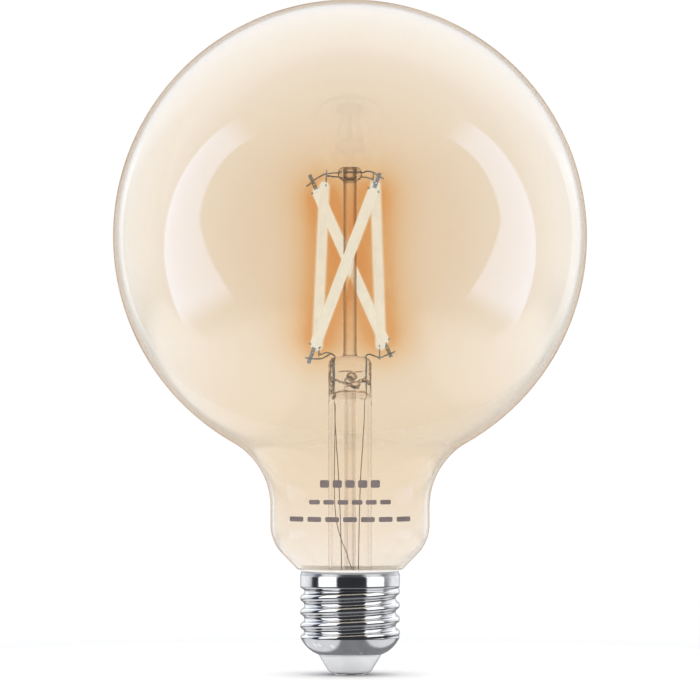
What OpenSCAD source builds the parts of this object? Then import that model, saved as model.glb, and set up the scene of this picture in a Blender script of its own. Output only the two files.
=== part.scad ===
// Smart light bulb: a large glass globe on an E27 screw cap, with four LED filaments on a
// glass stem and a radio-controlled driver inside the cap.
// Millimetres, +Z up the axis of the bulb. The origin is the centre of the flat underside of
// the centre contact, and -Y is the front, where the neck is printed.

/* [Globe] */
// Outer diameter of the glass globe
globe_d = 125; // [122:1:128]
// Height from the underside of the centre contact to the top of the globe
overall_h = 178; // [176:1:182]
// Outer diameter of the straight part of the neck
neck_d = 42; // [41:0.5:43]
// Thickness of the blown glass
glass_t = 0.9; // [0.7:0.1:1.1]

/* [Screw cap] */
// Diameter over the crests of the thread
crest_d = 26.4; // [26.2:0.1:26.5]
// Diameter in the roots of the thread
root_d = 24.2; // [24.2:0.1:24.4]
// Rise of the thread in one turn
pitch = 3.629; // [3.629]
// Height of the rim of the screw shell
cap_h = 27.35; // [27.3:0.05:27.4]
// Thickness of the sheet metal of the screw shell
shell_t = 0.3; // [0.25:0.05:0.35]

/* [Stem] */
// Outer diameter of the flare tube
flare_d = 11.5; // [11.2:0.1:11.8]
// Outer diameter of the exhaust tube
exhaust_d = 2.98; // [2.8:0.02:3.1]
// Diameter of the glass rod that holds up the bead
rod_d = 3.5; // [3.2:0.1:3.8]
// Diameter of the lead and bridge wires
wire_d = 0.38; // [0.3:0.02:0.4]

/* [Filaments] */
// Length of the lit coat of one filament
coat_l = 45; // [44:0.5:46]
// Width of the coat
coat_w = 2.8; // [2.6:0.1:3]
// Thickness of the coat
coat_t = 2.4; // [2.2:0.1:2.6]
// Number of LED chips on one filament
chip_count = 26; // [20:1:26]

/* [Printed mark] */
// Thickness of the ink on the neck
ink_t = 0.05; // [0.04:0.01:0.08]

/* [Hidden] */
$fn = 64;
fine = 96; // facets OpenSCAD itself shows on the large round parts
gap = 0.02; // clearance round a piece that is sealed in another
bead_gap = 0.1; // the bridge wires are not quite straight in the bead

glass = [0.93, 0.90, 0.84, 0.35];
nickel = "silver";
copper = "peru";
steel_wire = "slategray";

// Outline of the globe: sphere, hollow fillet, straight neck, round shoulder, cone.
globe_r = globe_d / 2;
centre_z = overall_h - globe_r;
fillet_r = 19.5;
fillet_centre_r = neck_d / 2 + fillet_r;
fillet_z = centre_z - sqrt(pow(globe_r + fillet_r, 2) - pow(fillet_centre_r, 2));
join_a = atan2(fillet_z - centre_z, fillet_centre_r);
shoulder_r = 11;
shoulder_centre_r = neck_d / 2 - shoulder_r;
shoulder_z = 39.5;
shoulder_a = 43.7;

// Skirt of the globe, which goes down inside the cap and is melted to the flare tube.
skirt_r = 11.4;
skirt_inner_r = 10.4;
skirt_z = 19.3;
seat_z = cap_h + 0.1;
foot_h = 0.4; // of the rounded edge where the cone turns in over the rim of the cap

// Screw shell.
crest_r = crest_d / 2;
root_r = root_d / 2;
collar_z = 23.4;
band_end_gap = 0.01; // between the band's shoulders and the collar and dome it is joined to
crest_phase_z = 18.3; // height of a crest on the +X side
dome_r = 8.25; // radius of the rounded lower edge
dome_centre = [crest_r - 7.7, 13];
dome_hole_r = 8.2;
dome_top_z = 9.8;
band_low_drop = 0.11; // from the crest radius to the lower end of the threaded band
band_high_drop = 0.01; // and to its upper end
neck_slim = 0.1; // how much thinner each end of the band is, on each side, inside the sheet
neck_l = 0.2;

// Insulator and contact.
insulator_top_z = 8.2;
insulator_foot = [5, 1.6]; // centre of its rounded lower edge
insulator_foot_r = 1.2;
insulator_bore_r = 0.8;
contact_seat_z = 0.5;
contact_r = 4.35;
contact_t = 0.7;
solder_r = 1.5;

// Flare tube and press.
flare_r = flare_d / 2;
flare_t = 0.8;
flare_bend_z = 26;
flare_bend_r = 6;
pinch_z = 69; // the round tube starts to flatten here
press_z0 = 76.5;
press_z1 = 83.9;
press_r = 5.7;
press_half_t = 2.6;
exhaust_r = exhaust_d / 2;
exhaust_bore_r = 0.85;
exhaust_top_z = 79;
exhaust_tip_z = 15.6;
hole_z = 78;

lead_places = [[-3.95, 0.5], [-3.95, -0.5], [4, 0]]; // where the leads pass through the press

// Rod and bead.
rod_r = rod_d / 2;
bead_z0 = 130.3;
bead_h = 3.6;
bead_side_r = 2;
bead_r = 3.2;
bead_centre_z = bead_z0 + bead_h / 2;
wire_r = wire_d / 2;

// Filaments, each as its lower end, its upper end, the way its wide face looks, and how far
// its lower and upper tab stand out of the coat.
left = [[-8.65, 3.8, 85.6], [-6.72, -4.2, 129.9], [1, 0, 0], [1.7, 3.2]];
right = [[8.2, -2.4, 85.7], [6.65, 3.6, 130.5], [-1, 0, 0], [2.7, 2.2]];
front = [[-9.4, -6, 86.2], [6.4, -6.5, 128.2], [0, -1, 0], [4.3, 4.1]];
back = [[9.23, 6, 87.5], [-8.94, 6.5, 128.1], [0, -1, 0], [3.9, 4.1]];
strip_w = 1.6;
strip_t = 0.5;
chip_l = 0.9;
chip_w = 0.5;
chip_t = 0.15;
chip_pitch = 1.6;
tab_t = 0.35;
tab_w = 1;
tab_in = 1.4; // how far a tab reaches into the coat
tab_hole_r = 0.2;
weld_gap = 0.08; // between a wire's surface and the tab it is welded to
tab_hole_out = 1.25; // from the end of the coat to the hole in the tab
crimp_w = 3.3;
crimp_l = 0.5;

// Driver, inside the cap.
board_r = 11.2;
board_t = 0.8;
board_z = 11.8;
board_top_z = board_z + board_t;
sleeve_r = 11.65;
sleeve_t = 0.3;
sleeve_top_z = 19.2;
capacitor_r = 3.15;
capacitor_l = 8.5;
part_lead_r = 0.25; // leads of the capacitor, the resistor and the varistor
radio_y = 3.6;
radio_w = 12;
radio_h = 5.6;
shield_size = [6.4, 1.8, 4.6];
shield_t = 0.2;

// ---- Functions ----

// Points of an arc in the r-z plane, from angle a0 to angle a1 in n steps.
function arc(centre, radius, a0, a1, n) =
    [for (i = [0:n]) let (a = a0 + (a1 - a0) * i / n) centre + radius * [cos(a), sin(a)]];

function reversed(list) = [for (i = [len(list) - 1:-1:0]) list[i]];
function unit(v) = v / norm(v);
function smooth_step(x) = let (t = max(0, min(1, x))) t * t * (3 - 2 * t);
function mix(a, b, t) = a + (b - a) * t;

// Round parts of the globe's outline, moved inwards by inset.
function globe_outline(inset) = concat(
    arc([0, centre_z], globe_r - inset, 90, join_a, 50),
    arc([fillet_centre_r, fillet_z], fillet_r + inset, join_a + 180, 180, 14),
    arc([shoulder_centre_r, shoulder_z], shoulder_r - inset, 0, -shoulder_a, 8));

// Radius of the globe's outer cone at height z.
function cone_r(z) = let (p = globe_outline(0), low = p[len(p) - 1])
    low[0] - (low[1] - z) * tan(shoulder_a);

// Rounded lower edge of the cap, moved inwards by inset, from the hole to height z.
function dome_outline(inset, hole_r, z) = let (radius = dome_r - inset)
    arc(dome_centre, radius, -acos((hole_r - dome_centre[0]) / radius),
        asin((z - dome_centre[1]) / radius), 10);

// Edison thread: crests and roots are arcs of one radius that run into each other. t is the
// place within a turn, 0 on a crest. The result runs from 1 on a crest to -1 in a root.
half_flank_a = atan2(crest_r - root_r, pitch / 2);
thread_arc_r = pitch / 4 / sin(2 * half_flank_a);
function thread_wave(t) = let (
        u = abs(t - round(t)),
        from_peak = (u < 0.25 ? u : 0.5 - u) * pitch,
        drop = thread_arc_r - sqrt(pow(thread_arc_r, 2) - pow(from_peak, 2)),
        height = (crest_r - root_r) / 2 - drop)
    (u < 0.25 ? 1 : -1) * height / ((crest_r - root_r) / 2);

// Outer radius of the threaded band at angle a and height z. It fades out at both ends.
function band_r(a, z) = let (
        wave = thread_wave((z - crest_phase_z) / pitch - a / 360),
        threaded = mix(root_r, crest_r, (wave + 1) / 2),
        to_collar = smooth_step((z - collar_z + 1.2) / 1.2),
        to_dome = smooth_step((dome_top_z + 1.4 - z) / 1.4))
    mix(mix(threaded, crest_r - band_high_drop, to_collar), crest_r - band_low_drop, to_dome);

// Filament frame: x is the way the wide face looks, y is across it, z runs up the filament.
function along(f) = unit(f[1] - f[0]);
function facing(f) = unit(f[2] - (f[2] * along(f)) * along(f));
function across(f) = cross(along(f), facing(f));
function on_filament(f, p) =
    (f[0] + f[1]) / 2 + p[0] * facing(f) + p[1] * across(f) + p[2] * along(f);

// A point where a wire lies on a tab: end is 1 at the top and -1 at the bottom, y is across
// the tab and beyond is the distance from the end of the coat.
function on_tab(f, end, y, beyond) =
    on_filament(f, [strip_t / 2 + tab_t + wire_r + weld_gap, y, end * (coat_l / 2 + beyond)]);

// Catmull-Rom curve through the points of a route, with n steps between each two.
function curve(p, n) = [for (i = [0:len(p) - 2], k = [0:n - 1]) let (
        a = p[max(i - 1, 0)], b = p[i], c = p[i + 1], d = p[min(i + 2, len(p) - 1)], t = k / n)
    0.5 * (2 * b + (c - a) * t + (2 * a - 5 * b + 4 * c - d) * t * t
        + (3 * b - a - 3 * c + d) * t * t * t), each [p[len(p) - 1]]];

function heading(p, i) = unit(p[min(i + 1, len(p) - 1)] - p[max(i - 1, 0)]);
function turned(side, t) = unit(side - (side * t) * t);

// ---- Routes of the wires, as points chosen by hand ----

warm_bridge_route = [
    on_tab(left, 1, -0.5, 1.5), on_tab(left, 1, 0.9, 1.5), [-4.6, -1.6, 131.3],
    [-3.3, -0.6, 131.3], [-1.5, -0.27, 131.3], [0, 0, 131.3], [1.5, 0.27, 131.3],
    [3.3, 0.6, 131.3], [4.6, 1.3, 131.1], on_tab(right, 1, 0.9, 0.4), on_tab(right, 1, -0.5, 0.4)];

cool_bridge_route = [
    on_tab(back, 1, -1.9, 1.55), on_tab(back, 1, -0.5, 2), on_tab(back, 1, 0.9, 2.35),
    [-6.9, 4.2, 132.1], [-5, 2, 132.3], [-3.3, 0.6, 132.4], [-1.5, 0.27, 132.4], [0, 0, 132.4],
    [1.5, -0.27, 132.4], [3.3, -0.6, 132.4], [4.6, -2.4, 132.7], [6.2, -5, 132.3],
    on_tab(front, 1, -0.8, 3.4), on_tab(front, 1, 0.5, 3.15), on_tab(front, 1, 1.4, 3)];

warm_lead_route = [
    on_tab(left, -1, 0.5, 1.1), on_tab(left, -1, -0.9, 1.1), [-6.3, 1.8, 84.9],
    [-5.2, 1, 84.7], [-4.3, 0.6, 84.2], [-3.95, 0.5, 83.4], [-3.95, 0.5, 80], [-3.95, 0.5, 77],
    [-4.05, 0.7, 66], [-4.2, 0.6, 48], [-3, -1.2, 38], [0.2, -2.3, 29], [1.5, -2.4, 23],
    [1.7, -2.2, 18], [1.7, -2.1, board_z]];

cool_lead_route = [
    on_tab(front, -1, -1.2, 3.15), on_tab(front, -1, -0.2, 3), on_tab(front, -1, 0.9, 2.7),
    [-7.4, -4.2, 83.4], [-6, -2, 84.1], [-5.1, -1, 84.6], [-4.3, -0.6, 84.2],
    [-3.95, -0.5, 83.4], [-3.95, -0.5, 80], [-3.95, -0.5, 77], [-3.9, -0.6, 67],
    [-2.95, -0.9, 52], [-2.2, -1.2, 28], [-2.8, -1.5, 20], [-3.2, -1.5, board_z]];

common_lead_route = [
    on_tab(back, -1, 1.4, 2.95), on_tab(back, -1, 0.1, 3.05), on_tab(back, -1, -1.1, 2.9),
    [8.9, 2, 83.9], [8.2, -0.8, 83.7], on_tab(right, -1, -0.4, 2.2), on_tab(right, -1, 0.6, 2.1),
    [6.8, -3, 83.9], [5.8, -1.6, 84.3], [5, -0.5, 84.5], [4.3, 0, 84.1], [4, 0, 83.3],
    [4, 0, 80], [4, 0, 77], [3.75, 0, 67], [2.8, 0, 52], [2.25, 0, 28], [2.8, 0.4, 20],
    [3.2, 0.6, board_z]];

antenna_route = [
    [4.5, radio_y + 0.4, board_top_z + radio_h], [4.4, 4, 19.5], [4.3, 3.6, 21],
    [3.8, 3.3, 23], [3.1, 2.9, 25.5]];
line_wire_route = [
    [0, 0, contact_t], [0, 0, 3], [0, 0, 6], [0.3, 0.1, 8.2], [1.7, 0.5, 10],
    [2.2, 0.7, board_z]];
neutral_wire_route = [
    [9.6, -1.8, board_top_z], [10, -1.8, 14.5], [10.4, -1.3, 17], [10.9, -0.6, 18.2],
    [11.7, -0.2, 18.45], [12.5, 0, 18.4]];

// ---- Shared shapes ----

// Round bar of radius r from point a to point b.
module bar(a, b, r) {
    d = b - a;
    translate(a)
        rotate([0, acos(d[2] / norm(d)), atan2(d[1], d[0])])
            cylinder(h = norm(d), r = r);
}

// Wire with round bends along a route, swept as rings of a few sides.
module wire(route, radius = wire_r, steps = 3, sides = 8) {
    p = curve(route, steps);
    n = len(p);
    start = turned(abs(heading(p, 0)[2]) < 0.9 ? [0, 0, 1] : [1, 0, 0], heading(p, 0));
    rights = [for (i = 0, s = start; i < n; i = i + 1,
        s = i < n ? turned(s, heading(p, i)) : s) s];
    points = [for (i = [0:n - 1], k = [0:sides - 1]) let (
            a = 360 * k / sides, up = cross(heading(p, i), rights[i]))
        p[i] + radius * (cos(a) * rights[i] + sin(a) * up)];
    walls = [for (i = [0:n - 2], k = [0:sides - 1]) let (j = (k + 1) % sides)
        [i * sides + k, (i + 1) * sides + k, (i + 1) * sides + j, i * sides + j]];
    first = [for (k = [0:sides - 1]) k];
    last = [for (k = [sides - 1:-1:0]) (n - 1) * sides + k];
    polyhedron(points, concat([first, last], walls), convexity = 6);
}

module revolve(points) {
    rotate_extrude($fn = fine) polygon(points);
}

// Slab that is thin in Y and wide in X, with the given Y-Z outline.
module prism_along_x(outline, width) {
    rotate([90, 0, 90]) translate([0, 0, -width / 2]) linear_extrude(width) polygon(outline);
}

module block(size, centre) {
    translate(centre - size / 2) cube(size);
}

// ---- Glass ----

module globe() {
    outer = concat(globe_outline(0), [
        [cone_r(cap_h + foot_h), cap_h + foot_h], [cone_r(cap_h) - foot_h / 2, seat_z + 0.03],
        [crest_r - 0.5, seat_z], [skirt_r, seat_z - 1.6], [skirt_r, skirt_z]]);
    inner = concat(globe_outline(glass_t), [
        [skirt_inner_r, cap_h - 0.15], [skirt_inner_r, skirt_z]]);
    color(glass) revolve(concat(outer, reversed(inner)));
}

// Section of the flare tube, outside or inside, from the melted rim up to the press.
function flare_section(r, bend_r, top) = concat(
    [[0, top], [r, top]],
    arc([flare_r + flare_bend_r, flare_bend_z], bend_r, 180,
        180 + acos((flare_r + flare_bend_r - skirt_inner_r) / bend_r), 8));

// Flattens what is inside it, from the full tube at pinch_z to half_t at the press.
module pinched(half_t, top) {
    wide = flare_r + 0.4;
    rim = skirt_inner_r + 1;
    side = [[rim, skirt_z - 1], [rim, flare_bend_z + 2], [wide, flare_bend_z + 2],
        [wide, pinch_z], [half_t, press_z0], [half_t, top]];
    intersection() {
        children();
        prism_along_x(concat(side, reversed([for (p = side) [-p[0], p[1]]])), 4 * rim);
    }
}

module flare_tube() {
    inner_bend_r = flare_bend_r + flare_t;
    outer = flare_section(flare_r, flare_bend_r, press_z0);
    inner = flare_section(flare_r - flare_t, inner_bend_r, press_z0 + 1);
    inner_low = inner[len(inner) - 1];
    color(glass) difference() {
        pinched(press_half_t, press_z0 + 1)
            revolve(concat(outer, [[skirt_inner_r, inner_low[1]], [0, inner_low[1]]]));
        pinched(press_half_t - flare_t, press_z0 + 1)
            revolve(concat(inner, [[skirt_inner_r, inner_low[1] - 0.5], [0, inner_low[1] - 0.5]]));
    }
}

module stem_press() {
    shoulder = 2.2;
    side = [[press_half_t, press_z0 - 1], [press_half_t, press_z1 - 1.2],
        [press_half_t - 0.9, press_z1 + 1]];
    dome = concat([[0, press_z1], [rod_r + 0.3, press_z1]],
        arc([press_r - shoulder, press_z1 - shoulder - 0.4], shoulder, 75, 0, 6),
        [[press_r, press_z0], [0, press_z0]]);
    color(glass) difference() {
        intersection() {
            revolve(dome);
            prism_along_x(concat(side, reversed([for (p = side) [-p[0], p[1]]])), 4 * press_r);
        }
        for (p = lead_places)
            translate([p[0], p[1], press_z0 - 1])
                cylinder(h = press_z1 - press_z0 + 2, r = wire_r + gap);
        translate([0, 0, press_z0 - 1])
            cylinder(h = exhaust_top_z - press_z0 + 1 + gap, r = exhaust_r + gap);
        translate([0, 0, hole_z]) rotate([90, 0, 0]) cylinder(h = press_half_t + 1, r = 0.9);
    }
}

module exhaust_tube() {
    color(glass) difference() {
        revolve([[0, exhaust_tip_z], [0.6, exhaust_tip_z + 0.2], [1.25, exhaust_tip_z + 1.4],
            [exhaust_r, exhaust_tip_z + 2.8], [exhaust_r, exhaust_top_z], [0, exhaust_top_z]]);
        revolve([[0, exhaust_tip_z + 1.6], [exhaust_bore_r, exhaust_tip_z + 3],
            [exhaust_bore_r, exhaust_top_z - 0.6], [0, exhaust_top_z - 0.4]]);
        translate([0, 0, hole_z]) rotate([90, 0, 0]) cylinder(h = exhaust_r + 1, r = 0.6);
    }
}

module stem_rod() {
    foot = 0.3;
    color(glass) revolve([[0, press_z1], [rod_r + foot, press_z1], [rod_r, press_z1 + 2 * foot],
        [rod_r, bead_z0], [0, bead_z0]]);
}

module top_bead() {
    side_a = asin(bead_h / 2 / bead_side_r);
    centre = [bead_r - bead_side_r, bead_centre_z];
    color(glass) difference() {
        revolve(concat([[0, bead_z0]], arc(centre, bead_side_r, -side_a, side_a, 10),
            [[0, bead_z0 + bead_h]]));
        bar([-3.3, -0.6, 131.3], [3.3, 0.6, 131.3], wire_r + bead_gap);
        bar([-3.3, 0.6, 132.4], [3.3, -0.6, 132.4], wire_r + bead_gap);
    }
}

// ---- Filaments ----

module place_on(f) {
    x = facing(f);
    y = across(f);
    z = along(f);
    middle = (f[0] + f[1]) / 2;
    multmatrix([for (i = [0:2]) [x[i], y[i], z[i], middle[i]]]) children();
}

module strip_body(grow = 0) {
    block([strip_t, strip_w, coat_l - 0.6] + grow * [1, 1, 1], [0, 0, 0]);
}

module chip_row(grow = 0) {
    for (i = [0:chip_count - 1])
        block([chip_t, chip_w, chip_l] + grow * [1, 1, 1],
            [(strip_t + chip_t) / 2, 0, (i - (chip_count - 1) / 2) * chip_pitch]);
}

module tab(f, end, grow = 0) {
    x = (strip_t + tab_t) / 2;
    out = f[3][end < 0 ? 0 : 1];
    length = tab_in + out;
    middle = coat_l / 2 + (out - tab_in) / 2;
    block([tab_t, tab_w, length] + grow * [1, 1, 1], [x, 0, end * middle]);
    block([tab_t, crimp_w, crimp_l] + grow * [1, 1, 1], [x, 0, end * (coat_l / 2 - 0.7)]);
}

module filament_strip(f) {
    color("whitesmoke") place_on(f) strip_body();
}

module filament_chips(f) {
    color("royalblue") place_on(f) chip_row();
}

module filament_coat(f) {
    corner = 0.9;
    half = [coat_t / 2 - corner, coat_w / 2 - corner];
    outline = concat(
        arc([half[0], half[1]], corner, 0, 90, 4),
        arc([-half[0], half[1]], corner, 90, 180, 4),
        arc([-half[0], -half[1]], corner, 180, 270, 4),
        arc([half[0], -half[1]], corner, 270, 360, 4));
    color("lemonchiffon") place_on(f) difference() {
        translate([0, 0, -coat_l / 2]) linear_extrude(coat_l) polygon(outline);
        strip_body(gap);
        chip_row(gap);
        tab(f, 1, gap);
        tab(f, -1, gap);
    }
}

module filament_tabs(f) {
    color(steel_wire) place_on(f) for (end = [-1, 1]) difference() {
        tab(f, end);
        translate([0, 0, end * (coat_l / 2 + tab_hole_out)]) rotate([0, 90, 0])
            cylinder(h = 2, r = tab_hole_r);
    }
}

// ---- Wires ----

module warm_bridge() {
    color(steel_wire) wire(warm_bridge_route);
}

module cool_bridge() {
    color(steel_wire) wire(cool_bridge_route);
}

module warm_lead() {
    color(steel_wire) wire(warm_lead_route);
}

module cool_lead() {
    color(steel_wire) wire(cool_lead_route);
}

module common_lead() {
    color(steel_wire) wire(common_lead_route);
}

// ---- Cap ----

// Thin wall between band_r and shell_t inside it, as columns and rows of points. A slimmer
// neck at each end goes into the sheet of the collar and of the dome.
module threaded_band() {
    columns = 48;
    rows = 34;
    z0 = dome_top_z + band_end_gap;
    z1 = collar_z - band_end_gap;
    rings = concat([[z0 - neck_l, neck_slim], [z0, neck_slim]],
        [for (i = [0:rows]) [mix(z0, z1, i / rows), 0]],
        [[z1, neck_slim], [z1 + neck_l, neck_slim]]);
    count = len(rings);
    points = [for (side = [0, 1], ring = rings, column = [0:columns - 1]) let (
            a = 360 * column / columns,
            r = band_r(a, max(z0, min(z1, ring[0]))) - side * shell_t + (2 * side - 1) * ring[1])
        [r * cos(a), r * sin(a), ring[0]]];
    function at(side, ring, column) = (side * count + ring) * columns + column % columns;
    function strip(r0, s0, r1, s1) = [for (c = [0:columns - 1])
        [at(s0, r0, c), at(s1, r1, c), at(s1, r1, c + 1), at(s0, r0, c + 1)]];
    outer = [for (i = [0:count - 2]) each strip(i, 0, i + 1, 0)];
    inner = [for (i = [0:count - 2]) each strip(i + 1, 1, i, 1)];
    polyhedron(points, concat(outer, inner, strip(0, 1, 0, 0), strip(count - 1, 0, count - 1, 1)),
        convexity = 10);
}

module screw_shell() {
    color(nickel) {
        threaded_band();
        revolve([[crest_r, collar_z], [crest_r, cap_h], [crest_r - shell_t, cap_h],
            [crest_r - shell_t, collar_z]]);
        revolve(concat(dome_outline(0, dome_hole_r, dome_top_z),
            reversed(dome_outline(shell_t, dome_hole_r, dome_top_z))));
    }
}

module cap_insulator() {
    inside = dome_outline(shell_t + gap, dome_hole_r, insulator_top_z);
    color("white") difference() {
        revolve(concat([[0, contact_seat_z], [contact_r + 0.1, contact_seat_z]],
            arc(insulator_foot, insulator_foot_r, -95, -20, 6),
            [[dome_hole_r - 0.5, 4.1], [dome_hole_r - gap, 5],
            [dome_hole_r - gap, inside[0][1]]],
            inside, [[0, insulator_top_z]]));
        translate([0, 0, -1]) cylinder(h = 1 + contact_t, r = contact_r + gap);
        cylinder(h = insulator_top_z + 1, r = insulator_bore_r);
    }
}

module centre_contact() {
    edge = 0.2;
    color(nickel) revolve([[solder_r, 0], [contact_r - edge, 0], [contact_r, edge],
        [contact_r, contact_t], [solder_r, contact_t]]);
}

module contact_solder() {
    color("lightgray") difference() {
        cylinder(h = contact_t, r = solder_r);
        translate([0, 0, contact_t - 0.1]) cylinder(h = 1, r = wire_r + gap);
    }
}

module cap_cement() {
    inner_crest = crest_r - shell_t;
    color("linen") revolve([[skirt_r, skirt_z + 0.4], [root_r - shell_t - gap, skirt_z + 0.4],
        [root_r - shell_t - gap, collar_z + 0.2], [inner_crest - 0.1, collar_z + 0.5],
        [inner_crest - 0.1, seat_z - 1.8], [skirt_r, seat_z - 1.8]]);
}

// ---- Driver ----

module driver_sleeve() {
    inner_r = sleeve_r - sleeve_t;
    height = sleeve_top_z - insulator_top_z;
    rib = [1.2, 0.9, board_z - insulator_top_z];
    color("ivory") {
        difference() {
            translate([0, 0, insulator_top_z]) cylinder(h = height, r = sleeve_r);
            translate([0, 0, insulator_top_z - 1]) cylinder(h = height + 2, r = inner_r);
            block([3, 1.6, 3], [sleeve_r, -0.3, sleeve_top_z]);
        }
        for (a = [30:120:270]) rotate([0, 0, a])
            block(rib, [inner_r - 0.35, 0, insulator_top_z + rib[2] / 2]);
    }
}

module driver_board() {
    holes = [[1.7, -2.1], [-3.2, -1.5], [3.2, 0.6], [2.2, 0.7], [9.6, -1.8]];
    color("seagreen") difference() {
        translate([0, 0, board_z]) cylinder(h = board_t, r = board_r);
        for (p = holes) translate([p[0], p[1], board_z - 1]) cylinder(h = 3, r = wire_r + gap);
    }
}

// Radial capacitor that lies on its side, with both of its wires bent down to the board.
module bulk_capacitor() {
    y = -6.3;
    z = board_top_z + capacitor_r + 0.1;
    end_x = capacitor_l / 2;
    color("midnightblue") translate([-end_x, y, z]) rotate([0, 90, 0]) difference() {
        cylinder(h = capacitor_l, r = capacitor_r);
        translate([0, 0, capacitor_l - 1.9]) difference() {
            cylinder(h = 0.6, r = capacitor_r + 1);
            translate([0, 0, -1]) cylinder(h = 3, r = capacitor_r - 0.3);
        }
    }
    color(nickel) for (s = [-1, 1]) {
        lead_y = y + s * 1.25;
        bar([end_x, lead_y, z], [end_x + 1.2, lead_y, z], part_lead_r);
        bar([end_x + 1, lead_y, z + part_lead_r], [end_x + 1, lead_y, board_top_z], part_lead_r);
    }
}

// Small moulded package on a board, with leads down two sides. up is 1 above the board.
module package(size, leads, spread, up) {
    lead_w = 0.4;
    lead_t = 0.15;
    foot_l = 0.9;
    color("dimgray") block([size[0], size[1], size[2] - lead_t],
        [0, 0, up * (size[2] + lead_t) / 2]);
    color(nickel) for (s = [-1, 1], i = [0:leads - 1]) {
        x = (i - (leads - 1) / 2) * spread;
        block([lead_w, foot_l, lead_t], [x, s * (size[1] / 2 + foot_l / 2 + 0.05), up * lead_t / 2]);
        block([lead_w, lead_t, size[2] / 2],
            [x, s * (size[1] / 2 + lead_t / 2), up * size[2] / 4]);
    }
}

module bridge_rectifier() {
    translate([5, -4.2, board_z]) package([4.7, 3.9, 2.4], 2, 2.54, -1);
}

module driver_chips() {
    for (s = [-1, 1])
        translate([s * 6.6, 0.2, board_top_z]) rotate([0, 0, 90]) package([4.9, 3.1, 1.5], 4, 1.27, 1);
}

module fusible_resistor() {
    y = 4.6;
    z = 9.9;
    body_l = 6;
    lead_x = 4.4;
    color("olivedrab") {
        bar([-body_l / 2, y, z], [body_l / 2, y, z], 1);
        for (s = [-1, 1]) bar([s * body_l / 2, y, z], [s * (body_l / 2 - 1.3), y, z], 1.2);
    }
    color(nickel) for (s = [-1, 1]) {
        bar([s * body_l / 2, y, z], [s * (lead_x + part_lead_r), y, z], part_lead_r);
        bar([s * lead_x, y, z - part_lead_r], [s * lead_x, y, board_z], part_lead_r);
    }
}

inductor_place = [-5, -4, 8.4];

module filter_inductor() {
    height = board_z - inductor_place[2];
    color("dimgray") translate(inductor_place) revolve([[0, 0], [2.8, 0], [2.8, 0.7], [1.2, 0.7],
        [1.2, height - 0.8], [2.8, height - 0.8], [2.8, height], [0, height]]);
}

module inductor_winding() {
    height = board_z - inductor_place[2];
    color(copper) translate(inductor_place) revolve([[1.2 + gap, 0.7 + gap], [2.5, 0.7 + gap],
        [2.5, height - 0.8 - gap], [1.2 + gap, height - 0.8 - gap]]);
}

module varistor() {
    y = 8.3;
    radius = 2.5;
    z = board_top_z + 0.6 + radius;
    color("steelblue") translate([0, y + 0.9, z]) rotate([90, 0, 0]) cylinder(h = 1.8, r = radius);
    color(nickel) for (s = [-1, 1])
        bar([s * 1.5, y, z - radius + 1], [s * 1.5, y, board_top_z], part_lead_r);
}

module small_capacitors() {
    places = [[-1.6, 0.9], [0.6, 1.8], [-8.3, 5.2], [8.2, 5.4]];
    size = [1.6, 0.8, 0.8];
    color("tan") for (p = places) block(size, [p[0], p[1], board_top_z + size[2] / 2]);
}

module small_resistors() {
    places = [[-3.6, 7.6], [3.6, 7.6], [-7.4, -4.2], [7.6, -4.6], [-5.4, 8.4], [5.6, 8.2]];
    size = [1.6, 0.8, 0.45];
    color("black") for (p = places) block(size, [p[0], p[1], board_top_z + size[2] / 2]);
}

module radio_board() {
    color("darkgreen") block([radio_w, board_t, radio_h],
        [0, radio_y + board_t / 2, board_top_z + radio_h / 2]);
}

module radio_chip() {
    color("black") block([4, 0.8, 3.4], [-1.8, radio_y + board_t + 0.4, board_top_z + 2.9]);
}

module radio_shield() {
    centre = [-1.8, radio_y + board_t + shield_size[1] / 2, board_top_z + 2.9];
    color(nickel) difference() {
        block(shield_size, centre);
        block(shield_size - [2, 0, 2] * shield_t, centre - [0, shield_t, 0]);
    }
}

module crystal() {
    color(nickel) block([2, 0.7, 1.6], [3.4, radio_y + board_t + 0.35, board_top_z + 2]);
}

module header_pins() {
    color("gold") for (i = [-2:2])
        block([0.4, 0.4, 2.2], [i * 1.8, radio_y - 0.2, board_top_z + 1.1]);
}

module antenna() {
    color(copper) wire(antenna_route);
}

module line_wire() {
    color("firebrick") wire(line_wire_route);
}

module neutral_wire() {
    color("royalblue") wire(neutral_wire_route);
}

// ---- Printed mark ----

// Three rows of plain dashes on the front of the neck, each as height on the neck, height of
// a dash, length of a dash, gap and count.
mark_rows = [[50.8, 2, 2.4, 0.9, 5], [46, 1.2, 2.8, 0.9, 6], [41.5, 1.3, 3.6, 1.05, 7]];

module printed_mark() {
    film = concat(globe_outline(-ink_t), reversed(globe_outline(0)));
    color("gray") intersection() {
        revolve(film);
        for (row = mark_rows, i = [0:row[4] - 1])
            block([row[2], neck_d, row[1]],
                [(i - (row[4] - 1) / 2) * (row[2] + row[3]), -neck_d / 2, row[0]]);
    }
}

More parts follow.
